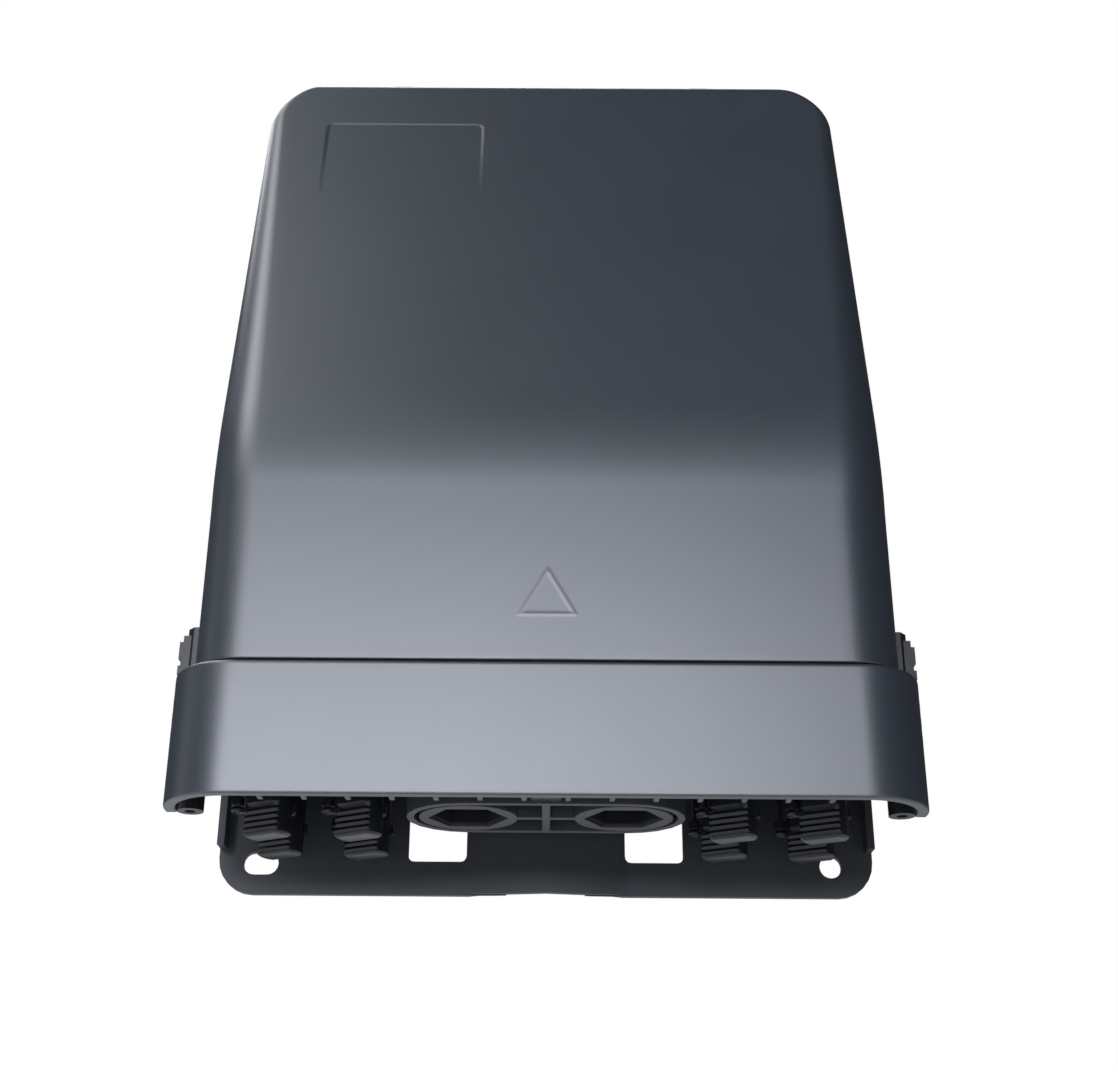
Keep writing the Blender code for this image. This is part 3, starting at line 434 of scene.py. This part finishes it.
# ---------------------------------------------------------------- cover lid
def lid_half_width(z):
    """Half the cover's width: even up to the taper, then narrowing to the top."""
    share = max(0.0, (z - TAPER_Z) / (LID_TOP - TAPER_Z))
    return LID_HALF_LOW + (LID_HALF_HIGH - LID_HALF_LOW) * share


def lid_front(z):
    """Y of the front face: upright, then a parabola through the bend, then leaning back."""
    start, end = BEND_Z - BEND_HALF, BEND_Z + BEND_HALF
    if z <= start:
        return FRONT_Y
    if z < end:
        return FRONT_Y + LEAN * (z - start) ** 2 / (2 * (end - start))
    return FRONT_Y + LEAN * (z - BEND_Z)


def parting_y(z):
    """Y of the cover's rear edge, which leans towards the wall."""
    return PARTING_Y + PARTING_LEAN * (z - LID_BOTTOM)


def side_edge(z):
    """Radius of the cover's upright front edges, which sharpen towards the top."""
    share = max(0.0, (z - SIDE_EDGE_Z) / (LID_TOP - SIDE_EDGE_Z))
    return SIDE_EDGE_LOW + (SIDE_EDGE_HIGH - SIDE_EDGE_LOW) * share


def soft_step(value, width):
    """0 below zero, 1 above width, and smooth between."""
    share = min(1.0, max(0.0, value / width))
    return share * share * (3 - 2 * share)


def recess_depth(x, z):
    """The label recess: full depth at its top, and running out almost to nothing at its bottom."""
    middle_x, half_x = sum(RECESS_X) / 2, (RECESS_X[1] - RECESS_X[0]) / 2
    middle_z, half_z = sum(RECESS_Z) / 2, (RECESS_Z[1] - RECESS_Z[0]) / 2
    past_x = abs(x - middle_x) - (half_x - RECESS_CORNER)
    past_z = abs(z - middle_z) - (half_z - RECESS_CORNER)
    outside = math.hypot(max(past_x, 0.0), max(past_z, 0.0)) + min(max(past_x, past_z), 0.0) - RECESS_CORNER
    rise = soft_step(z - RECESS_Z[0], RECESS_Z[1] - RECESS_Z[0])
    fade = RECESS_FOOT_SHARE + (1 - RECESS_FOOT_SHARE) * rise
    return RECESS_DEPTH * fade * soft_step(-outside, RECESS_EDGE)


def mark_height(x, z):
    """A plain raised triangular band above the seam."""
    inradius = MARK_SIDE / (2 * math.sqrt(3))
    up = z - MARK_Z - inradius
    reach = max(-up, 0.5 * up + math.sqrt(3) / 2 * abs(x))
    inside = inradius - reach
    band = min(soft_step(inside, MARK_EDGE), soft_step(MARK_BAND - inside, MARK_EDGE))
    return MARK_HEIGHT * band


def lid_section(z, half, front, rear, trim):
    """Points round one level, from the left rear edge over the front to the right rear edge.

    The columns lie closer together where they cross the recess's sides and the triangular band."""
    radius = min(side_edge(z), half) - trim
    left = [(-half + 0.5, rear), (-half + 0.12, rear - 0.14), (-half, rear - 0.5)]
    sides = 6
    left += [(-half, rear - 1.0 + (front + radius + 1.0 - rear) * i / sides) for i in range(sides)]
    left += arc((-half + radius, front + radius), radius, 180, 270, 12)
    reach = half - radius
    lines = spaced(-0.97, -0.89, 0.04) + spaced(-0.87, -0.815, 0.0055) + spaced(-0.78, -0.29, 0.04)
    lines += spaced(-0.272, -0.232, 0.0055) + spaced(-0.2, -0.13, 0.035) + spaced(-0.115, 0.115, 0.0048)
    lines += spaced(0.14, 0.97, 0.05)
    across = [(share * reach, front) for share in lines]
    return left + across + [(-x, y) for x, y in reversed(left)]


def lid_levels(trim):
    """(height drawn in by trim, height, half-width, front) of every level.

    The levels lie closer together along the triangular band and at the recess's top and bottom."""
    shoulder = LID_TOP - TOP_CORNER
    heights = spaced(LID_BOTTOM + 1.0, 66.0, 3.0) + spaced(69.0, 89.0, 0.42) + spaced(92.0, 117.0, 5.0)
    heights += spaced(119.0, 149.0, 2.0) + spaced(153.0, 242.0, 6.0) + spaced(244.6, 248.0, 0.8)
    heights += spaced(252.0, 280.0, 4.0) + spaced(282.5, 286.0, 0.35)
    levels = [(LID_BOTTOM, 0.45), (LID_BOTTOM + 0.13, 0.13), (LID_BOTTOM + 0.45, 0.0)]
    rows = [(z, lid_half_width(z) - drawn, lid_front(z) + drawn) for z, drawn in levels]
    rows += [(z, lid_half_width(z), lid_front(z)) for z in heights]
    across = lid_half_width(shoulder) - TOP_CORNER
    for i in range(1, 27):
        angle = math.radians(90 * i / 26)
        z = shoulder + TOP_CORNER * math.sin(angle)
        past = max(0.0, z - (LID_TOP - FRONT_TOP_EDGE))
        back = FRONT_TOP_EDGE - math.sqrt(max(0.0, FRONT_TOP_EDGE**2 - past**2))
        rows.append((z, across + TOP_CORNER * math.cos(angle), lid_front(z) + back))
    scale = (LID_TOP - LID_BOTTOM - trim) / (LID_TOP - LID_BOTTOM)
    return [(LID_BOTTOM + (z - LID_BOTTOM) * scale, z, half - trim, front + trim) for z, half, front in rows]


def lid_rows(shape, trim):
    """Rows of vertices over the cover, drawn in by trim, with the worked face on the outer one only."""
    rows = []
    for low_z, z, half, front in lid_levels(trim):
        row = []
        for x, y in lid_section(z, half, front, parting_y(low_z), trim):
            if trim == 0 and abs(y - front) < 1e-9:
                y += recess_depth(x, z) - mark_height(x, z)
            row.append(shape.verts.new((x * MM, y * MM, low_z * MM)))
        rows.append(row)
    return rows


def cover_lid():
    shape = bmesh.new()
    outer, inner = lid_rows(shape, 0.0), lid_rows(shape, WALL)
    skin(shape, outer)
    skin(shape, inner)
    shape.faces.new(outer[-1])
    shape.faces.new(inner[-1])
    skin(shape, [outer[0], inner[0]])
    for end in (0, -1):
        skin(shape, [[row[end] for row in outer], [row[end] for row in inner]])
    shape.faces.new((outer[-1][0], outer[-1][-1], inner[-1][-1], inner[-1][0]))
    mesh = mesh_of("cover_lid_shell", shape)
    placed("cover_lid_shell", mesh, "cover", "cover", ["cover_lid"], smooth=50)
    lugs = bmesh.new()
    eye = arc((HINGE.y, HINGE.z), LUG_EYE, -60, 110, 20)
    root = [(-38.0, LID_TOP + 1.6), (-38.0, LID_TOP - 1.0), (-27.5, LID_TOP - 1.0)]
    outline = eye + root
    hole = []
    for y, z in outline:
        angle = math.atan2(z - HINGE.z, y - HINGE.y)
        hole.append((HINGE.y + LUG_BORE * math.cos(angle), HINGE.z + LUG_BORE * math.sin(angle)))
    for side in (-1, 1):
        low, high = sorted((side * LUG_X[0], side * LUG_X[1]))
        extruded(lugs, outline, low, high, hole)
    mesh = settled("cover_hinge_lugs", mesh_of("cover_hinge_lugs", lugs), [rounding(0.35, 2, 40)])
    placed("cover_hinge_lugs", mesh, "cover", "cover")
    bosses = bmesh.new()
    profile = [(1.5, 0.2), (3.9, 0.2), (4.2, 0.5), (4.0, 9.6), (3.6, 10.0), (1.5, 10.0)]
    for x in (-SCREW_X[1], -SCREW_X[0], *SCREW_X):
        foot = (x, SCREW_Y - 1.5, LID_BOTTOM)
        rings = turned(bosses, profile, 28, foot)
        skin(bosses, [rings[-1], rings[0]], closed=True)
    placed("cover_screw_bosses", mesh_of("cover_screw_bosses", bosses), "cover", "cover")


# ---------------------------------------------------------------- skirt
def skirt_path():
    """(point, outward normal) round the skirt's plan, from its left rear end to its right one."""
    half, front, rear = SKIRT_HIGH.x, SKIRT_LOW.y, SKIRT_HIGH.y
    path = [(Vector((-half, y)), Vector((-1, 0))) for y in (rear, rear - 0.8)]
    centre = (-half + SKIRT_CORNER, front + SKIRT_CORNER)
    for point in arc(centre, SKIRT_CORNER, 180, 270, 30):
        normal = Vector(point) - Vector(centre)
        path.append((Vector(point), normal.normalized()))
    path.append((Vector((-half + SKIRT_CORNER + 1.0, front)), Vector((0, -1))))
    mirror = []
    for point, normal in reversed(path):
        mirror.append((Vector((-point.x, point.y)), Vector((-normal.x, normal.y))))
    return path + mirror


def skirt_profile(deck):
    """(inset, height) points round the skirt's wall and the deck that it hangs from."""
    low, high = SKIRT_LOW.z, SKIRT_HIGH.z
    points = []
    for inset in (0.0, 0.1, 0.3):
        rise = math.sin(math.acos(1 - inset / RIM_ROUND))
        points.append((inset, low + RIM_ROUND - RIM_ROUND * rise))
    points += [(RIM_ROUND, low), (SKIRT_WALL - RIM_ROUND, low)]
    points += [(SKIRT_WALL - 0.3, low + 0.12), (SKIRT_WALL, low + RIM_ROUND)]
    under = high - SKIRT_WALL
    points += arc((SKIRT_WALL + DECK_FILLET, under - DECK_FILLET), DECK_FILLET, 180, 90, 4)
    points += [(deck - 0.3, under), (deck, under + 0.3), (deck, high - 0.3), (deck - 0.3, high)]
    points += arc((SHOULDER_ROUND, high - SHOULDER_ROUND), SHOULDER_ROUND, 90, 180, 6)
    return points + [(0.0, high - SHOULDER_ROUND - 0.5), (0.0, low + RIM_ROUND + 0.5)]


def cover_skirt():
    shape = bmesh.new()
    rows = []
    for point, normal in skirt_path():
        deck = DECK_SIDE * normal.x**2 + DECK_FRONT * normal.y**2
        row = []
        for inset, z in skirt_profile(deck):
            place = point - normal * inset
            row.append(shape.verts.new((place.x * MM, place.y * MM, z * MM)))
        rows.append(row)
    skin(shape, rows, closed=True)
    shape.faces.new(rows[0])
    shape.faces.new(rows[-1])
    mesh = mesh_of("cover_skirt_shell", shape)
    placed("cover_skirt_shell", mesh, "cover", "cover", ["cover_skirt"], smooth=50)
    ribs = bmesh.new()
    inner = SKIRT_LOW.y + SKIRT_WALL
    for i in range(RIB_COUNT):
        x = RIB_PITCH * (i - (RIB_COUNT - 1) / 2)
        low = (x - RIB_HALF, inner - 0.5, SKIRT_LOW.z + 0.6)
        block(ribs, low, (x + RIB_HALF, inner + RIB_DEPTH, SKIRT_HIGH.z - SKIRT_WALL))
    mesh = settled("cover_skirt_ribs", mesh_of("cover_skirt_ribs", ribs), [rounding(0.35)])
    placed("cover_skirt_ribs", mesh, "cover", "cover")


# ---------------------------------------------------------------- dust caps, tethers and adapters
def cap_levels():
    """(height, outer radius, half-thickness of the ribbed grip) down a cap's outer side."""
    rows = [(CAP_TOP, CAP_RADIUS - 0.8, NO_FLAT), (CAP_TOP - 0.15, CAP_RADIUS - 0.25, NO_FLAT)]
    rows += [(CAP_TOP - 0.6, CAP_RADIUS, NO_FLAT), (SHOULDER_TOP + 0.7, CAP_RADIUS, NO_FLAT)]
    rows += [(SHOULDER_TOP + 0.4, CAP_RADIUS, 7.3), (SHOULDER_TOP, CAP_RADIUS, SHOULDER_HALF)]
    rows.append((PADDLE_TOP + 1.6, CAP_RADIUS, SHOULDER_HALF))
    rows.append((PADDLE_TOP + 1.2, CAP_RADIUS, SHOULDER_HALF - 0.1))
    count = round((PADDLE_TOP - CAP_BOTTOM - 1.2) / CAP_RIB_PITCH)
    for i in range(CAP_RIB_STEPS * count + 1):
        z = PADDLE_TOP - CAP_RIB_PITCH * i / CAP_RIB_STEPS
        wave = math.sin(math.pi * i / CAP_RIB_STEPS) ** 2
        rows.append((z, CAP_RADIUS, PADDLE_HALF + CAP_RIB_DEPTH * wave))
    low = PADDLE_HALF + CAP_RIB_DEPTH
    rows += [(CAP_BOTTOM + 0.9, CAP_RADIUS, low), (CAP_BOTTOM + 0.6, CAP_RADIUS - 0.2, low - 0.1)]
    rows += [(CAP_BOTTOM + 0.25, CAP_RADIUS - 0.7, low - 0.4), (CAP_BOTTOM, CAP_RADIUS - 1.3, low - 0.9)]
    return rows + [(CAP_BOTTOM, 0.6, NO_FLAT)]


def cap_mesh(sides=96):
    """A dust cap on the Z axis, with its bore, its ribbed grip, the tether's eyelet and a thumb bump."""
    shape = bmesh.new()
    rings = []
    bore = [(CAP_FLOOR, 0.5), (CAP_FLOOR, CAP_BORE), (CAP_TOP - 0.5, CAP_BORE), (CAP_TOP, CAP_BORE + 0.5)]
    levels = [(z, radius, NO_FLAT) for z, radius in bore] + cap_levels()
    for z, radius, flat in levels:
        ring = []
        for i in range(sides):
            angle = 2 * math.pi * i / sides
            reach = min(radius, flat / max(abs(math.cos(angle - GRIP_TURN)), 1e-6))
            place = (reach * math.cos(angle), reach * math.sin(angle), z)
            ring.append(shape.verts.new([value * MM for value in place]))
        rings.append(ring)
    skin(shape, rings, closed=True)
    shape.faces.new(rings[0])
    shape.faces.new(rings[-1])
    ring_sides, tube_sides = 28, 10
    loops = []
    for i in range(ring_sides + 1):
        angle = math.radians(-150 + 300 * i / ring_sides)
        loop = []
        for j in range(tube_sides):
            around = 2 * math.pi * j / tube_sides
            reach = EYELET_RADIUS + EYELET_HALF_WIDTH * math.cos(around)
            z = EYELET_Z + EYELET_HALF_HEIGHT * math.sin(around)
            place = (TETHER_X + reach * math.cos(angle), reach * math.sin(angle), z)
            loop.append(shape.verts.new([value * MM for value in place]))
        loops.append(loop)
    skin(shape, loops, closed=True)
    shape.faces.new(loops[0])
    shape.faces.new(loops[-1])
    block(shape, (-8.4, -0.85, 16.25), (-4.2, 0.85, 17.75))
    bump = block(shape, (4.2, -1.2, 15.5), (8.5, 1.2, 19.0))
    edges = list({edge for vert in bump for edge in vert.link_edges})
    bmesh.ops.bevel(shape, geom=edges, offset=0.45 * MM, segments=3, affect="EDGES", clamp_overlap=True)
    return mesh_of("dust_cap", shape)


def adapter_mesh():
    """A drop adapter on the Z axis: its threaded back, its flange, and the neck that a cap goes over."""
    shape = bmesh.new()
    thread = []
    for i in range(THREAD_TURNS):
        z = THREAD_TOP - THREAD_PITCH * i
        thread += [(THREAD_CREST, z), (THREAD_CREST, z - 0.25)]
        thread += [(THREAD_ROOT, z - 0.5), (THREAD_ROOT, z - 0.7)]
    profile = [(2.2, 61.0), (5.1, 61.0)] + thread
    profile += [(THREAD_CREST, 53.6), (6.3, 53.0), (6.3, 47.7), (8.0, 47.7)]
    profile += [(8.4, 47.4), (8.4, 45.1), (8.0, 44.7), (4.6, 44.7), (4.6, 30.0), (4.25, 29.6), (4.25, 28.4)]
    profile += [(4.6, 28.0), (4.6, 18.8), (4.2, 18.4), (2.2, 18.4)]
    rings = turned(shape, profile, 36)
    skin(shape, [rings[-1], rings[0]], closed=True)
    return mesh_of("drop_adapter", shape)


def drop_ports():
    cap, adapter = cap_mesh(), adapter_mesh()
    for number in range(1, 9):
        pivot = Vector(JOINTS[f"cap_{number}_twist"]["pos_m"])
        for base, mesh in (("dust_cap", cap), ("drop_adapter", adapter)):
            node = f"{base}_{number}"
            copy = mesh.copy()
            copy.transform(Matrix.Translation((pivot.x, pivot.y, 0)))
            placed(f"{node}_body", copy, BODY_OF[node], SLOT_OF[node], [node], smooth=32)
        softened(f"cap_tether_{number}", 0.3, 2, 40)


# ---------------------------------------------------------------- inside the box
def case_line(inset, bottom):
    """The case's outline from the front, drawn in by inset: round shoulders and a taper to a flat foot."""
    shoulder = LID_TOP - TOP_CORNER
    across = lid_half_width(shoulder) - TOP_CORNER
    low = LID_HALF_LOW - inset
    right = [(x, bottom) for x in spaced(0.0, low - 2.0, 6.0)[1:]]
    right += arc((low - 2.0, bottom + 2.0), 2.0, -80, 0, 5)
    right += [(low, z) for z in spaced(bottom + 5.0, TAPER_Z, 8.0)]
    right += arc((across, shoulder), TOP_CORNER - inset, 0, 90, 20) + [(across / 2, LID_TOP - inset)]
    return right + [(-x, z) for x, z in reversed(right)]


def rim_gasket():
    """The gasket's strand round the front rim of the case."""
    inset = TRAY_INSET + 1.3
    points = [(x, parting_y(z) - LIP_OVERLAP - 1.1, z) for x, z in case_line(inset, 50.0)]
    strand("rim_gasket", points, 0.8, "base", "seal", ["gasket"], cyclic=True, sides=4)


def seal_plug(side):
    """A hexagonal plug, the rings on it that are cut out to suit the cable, and the collar round it."""
    node = "port_seal_left" if side < 0 else "port_seal_right"
    softened(node, 0.4, 3)
    low, high = corners(node)
    centre = ((low.x + high.x) / 2, (low.y + high.y) / 2, 0)
    shape = bmesh.new()
    foot, crest = low.z + SEAL_RING_FOOT, low.z + SEAL_RING_CREST
    for radius in SEAL_RINGS:
        ring = [(radius - SEAL_RING_HALF, foot), (radius, crest), (radius + SEAL_RING_HALF, foot)]
        rings = turned(shape, ring, 40, centre)
        skin(shape, [rings[-1], rings[0]], closed=True)
    placed(node + "_rings", mesh_of("seal_rings", shape), "base", "seal")
    collar = bmesh.new()
    rings = turned(collar, COLLAR_PROFILE, 6, centre)
    skin(collar, [rings[-1], rings[0]], closed=True)
    placed(node + "_collar", mesh_of("seal_collar", collar), "base", "seal")


def tray_fibres():
    """Six fibres coiled round the tray's pocket, and the sleeves that hold their splices."""
    box_low, box_high = corners("fibre_loop")
    tones = [sheathed(f"fibre_tone_{i + 1}", tone) for i, tone in enumerate(FIBRE_TONES)]
    middle = (box_low.z + box_high.z) / 2
    for i, tone in enumerate(tones):
        points = []
        radius = COIL_RADIUS - COIL_STEP * i
        for k in range(COIL_POINTS):
            angle = 2 * math.pi * k / COIL_POINTS
            side = COIL_SIDE if math.cos(angle) > 0 else -COIL_SIDE
            wander = COIL_WANDER * math.sin(3 * angle + i)
            x = side + (radius + wander) * math.cos(angle)
            y = box_high.y - 0.75 - 0.28 * ((i * 5 + k // 9) % 3)
            z = middle + (radius + wander) * math.sin(angle)
            points.append((x, y, z))
        replaced = ["fibre_loop"] if i == 0 else ()
        name = f"stored_fibre_{i + 1}"
        strand(name, points, 0.45, "splice_tray", "fibre", replaced, cyclic=True, finish=tone, sides=2)
    low, high = corners("sleeve_holder")
    for i, tone in enumerate(tones):
        x = SPLICE_X + SPLICE_PITCH * i
        y = high.y - SPLICE_DROP
        points = [(x, y, low.z + 1.5 + step) for step in (0, 9, 18, 27)]
        strand(f"splice_sleeve_{i + 1}", points, 1.25, "splice_tray", "clear_cover", sides=4)
        run = [(x, y, z) for z in spaced(low.z - 7.0, high.z - 0.5, 6.0)]
        strand(f"spliced_fibre_{i + 1}", run, 0.4, "splice_tray", "fibre", finish=tone, sides=2)


def spool_fibres():
    """Spare fibre wound on the spool behind the splice tray."""
    low, high = corners("fibre_spool")
    centre = ((low.x + high.x) / 2, (low.z + high.z) / 2)
    points = []
    for k in range(SPOOL_TURNS * SPOOL_STEPS):
        angle = 2 * math.pi * k / SPOOL_STEPS
        x = centre[0] + SPOOL_RADIUS * math.cos(angle)
        y = high.y - SPOOL_MARGIN - SPOOL_LAY * (k / SPOOL_STEPS)
        z = centre[1] + SPOOL_RADIUS * math.sin(angle)
        points.append((x, y, z))
    strand("spooled_fibre", points, 0.8, "base", "fibre")


def splitter():
    """The splitter module, with the blank plate and the two rivets on its front."""
    softened("splitter_module", 0.5, 3)
    low, high = corners("splitter_module")
    shape = bmesh.new()
    block(shape, (low.x + 12, low.y, low.z + 20), (high.x - 12, low.y + 0.4, high.z - 6))
    for x in (low.x + 5, high.x - 5):
        rings = turned(shape, [(0.01, 0.0), (1.6, 0.0), (1.9, 0.3), (1.9, 1.2), (0.01, 1.2)], 24)
        for ring in rings:
            for vert in ring:
                lift = (high.z - 6) * MM
                vert.co = Vector((vert.co.x + x * MM, low.y * MM + vert.co.z, vert.co.y + lift))
    mesh = settled("splitter_plate", mesh_of("splitter_plate", shape), [rounding(0.15, 2)])
    placed("splitter_plate", mesh, "base", "white_plastic")


def main_parts():
    """The CAD's own forms with rounded edges, for every node that has no detailed piece of its own."""
    softened("base_housing", 0.3, 2, 33)
    softened("cable_gland_block", 0.4, 3, 33)
    for side in ("left", "right"):
        softened(f"clasp_{side}", 0.45, 3, 33)
        softened(f"cable_clamp_{side}", 0.5, 3)
        softened(f"clamp_screw_{side}", 0.18, 2, 35)
        softened(f"hinge_pin_{side}", 0.3, 2, 50)
        softened(f"clasp_pin_{side}", 0.25, 2, 50)
    for number in (1, 2):
        softened(f"gland_screw_{number}", 0.2, 2, 35)
    for number in range(1, 5):
        softened(f"skirt_screw_{number}", 0.18, 2, 35)
    softened("tray_hinge_pin", 0.25, 2, 50)
    softened("tray_bracket", 0.3, 2)
    softened("fibre_spool", 0.35, 2, 33)
    softened("splice_tray", 0.35, 2, 33)
    softened("sleeve_holder", 0.3, 2)
    softened("tray_cover", 0.3, 2)


# ---------------------------------------------------------------- camera, light and floor
ROOM_LIGHT = 0.05
CAMERA_PLACE, CAMERA_TILT, CAMERA_ROLL = (0, -0.542, -0.108), 114, 0.4
CAMERA_SENSOR, CAMERA_LENS, CAMERA_SHIFT = 36, 51.52, 0.0098
FLOOR_HALF, FLOOR_Z, EVEN_SHARE = 3.0, -0.16, 0.85
LAMPS = [
    # name, place, aim, size, watts, colour
    ("key", (-0.19, -1.50, 0.345), (0, 0, 0.08), (1.16, 0.44), 24, (0.87, 0.90, 1.0)),
    ("top", (-0.5, 0.6, 1.5), (0, 0, 0.1), (1.2, 1.0), 24, (0.94, 0.97, 1.0)),
    ("left", (-0.85, -0.75, 1.25), (0, 0, 0.2), (0.7, 0.7), 11.0, (0.93, 0.96, 1.0)),
    ("side", (-1.4, -0.1, 0.2), (0, 0, 0.1), (0.5, 0.9), 1.0, (0.95, 0.97, 1.0)),
]


def area_light(name, place, aim, size, power, colour):
    """A soft lamp that lights the box and stays out of the camera's sight."""
    lamp = bpy.data.lights.new(name, "AREA")
    lamp.shape = "RECTANGLE"
    lamp.size, lamp.size_y = size
    lamp.energy = power
    lamp.color = colour
    made = bpy.data.objects.new(name, lamp)
    made.location = place
    made.rotation_euler = (Vector(aim) - Vector(place)).to_track_quat("-Z", "Y").to_euler()
    made.visible_camera = False
    bpy.context.scene.collection.objects.link(made)


def studio():
    """The camera below and in front of the box, the room's light, the white backdrop and the lamps."""
    scene = bpy.context.scene
    scene.view_settings.view_transform = "Standard"
    cam = bpy.data.cameras.new("camera")
    cam.sensor_width, cam.lens, cam.shift_x = CAMERA_SENSOR, CAMERA_LENS, CAMERA_SHIFT
    camera = bpy.data.objects.new("camera", cam)
    camera.location = CAMERA_PLACE
    tilt = Matrix.Rotation(math.radians(CAMERA_TILT), 4, "X")
    roll = Matrix.Rotation(math.radians(CAMERA_ROLL), 4, "Z")
    camera.rotation_euler = (tilt @ roll).to_euler()
    scene.collection.objects.link(camera)
    scene.camera = camera
    world = bpy.data.worlds.new("studio")
    world.use_nodes = True
    tree = world.node_tree
    background = tree.nodes["Background"]
    background.inputs["Color"].default_value = (0.93, 0.96, 1.0, 1.0)
    background.inputs["Strength"].default_value = ROOM_LIGHT
    backdrop = tree.nodes.new("ShaderNodeBackground")
    backdrop.inputs["Color"].default_value = (1.0, 1.0, 1.0, 1.0)
    seen = tree.nodes.new("ShaderNodeLightPath")
    mix = tree.nodes.new("ShaderNodeMixShader")
    tree.links.new(seen.outputs["Is Camera Ray"], mix.inputs["Fac"])
    tree.links.new(background.outputs["Background"], mix.inputs[1])
    tree.links.new(backdrop.outputs["Background"], mix.inputs[2])
    tree.links.new(mix.outputs["Shader"], tree.nodes["World Output"].inputs["Surface"])
    scene.world = world
    for lamp in LAMPS:
        area_light(*lamp)


def floor():
    """A pale floor below the box."""
    shape = bmesh.new()
    bmesh.ops.create_grid(shape, x_segments=2, y_segments=2, size=FLOOR_HALF)
    mesh = mesh_of("floor", shape, recalculate=False)
    ground = bpy.data.objects.new("floor", mesh)
    ground.location = (0, 0, FLOOR_Z)
    made, tree, shader = shader_of("floor_paint", (0.86, 0.86, 0.86), 0.7)
    paint = tinted(tree, noise(tree, 90, 3.0), (0.84, 0.84, 0.84), (0.88, 0.88, 0.88))
    tree.links.new(paint, shader.inputs["Base Color"])
    # the camera sees an evenly lit floor, while the box is lit by the lamps' light from it
    even = tree.nodes.new("ShaderNodeEmission")
    even.inputs["Color"].default_value = (0.82, 0.82, 0.82, 1.0)
    seen = tree.nodes.new("ShaderNodeLightPath")
    share = tree.nodes.new("ShaderNodeMath")
    share.operation = "MULTIPLY"
    share.inputs[1].default_value = EVEN_SHARE
    mix = tree.nodes.new("ShaderNodeMixShader")
    tree.links.new(seen.outputs["Is Camera Ray"], share.inputs[0])
    tree.links.new(share.outputs["Value"], mix.inputs[0])
    tree.links.new(shader.outputs["BSDF"], mix.inputs[1])
    tree.links.new(even.outputs["Emission"], mix.inputs[2])
    tree.links.new(mix.outputs["Shader"], tree.nodes["Material Output"].inputs["Surface"])
    mesh.materials.append(made)
    bpy.context.scene.collection.objects.link(ground)


studio()
floor()
cover_lid()
cover_skirt()
drop_ports()
main_parts()
rim_gasket()
for side in (-1, 1):
    seal_plug(side)
splitter()
tray_fibres()
spool_fibres()
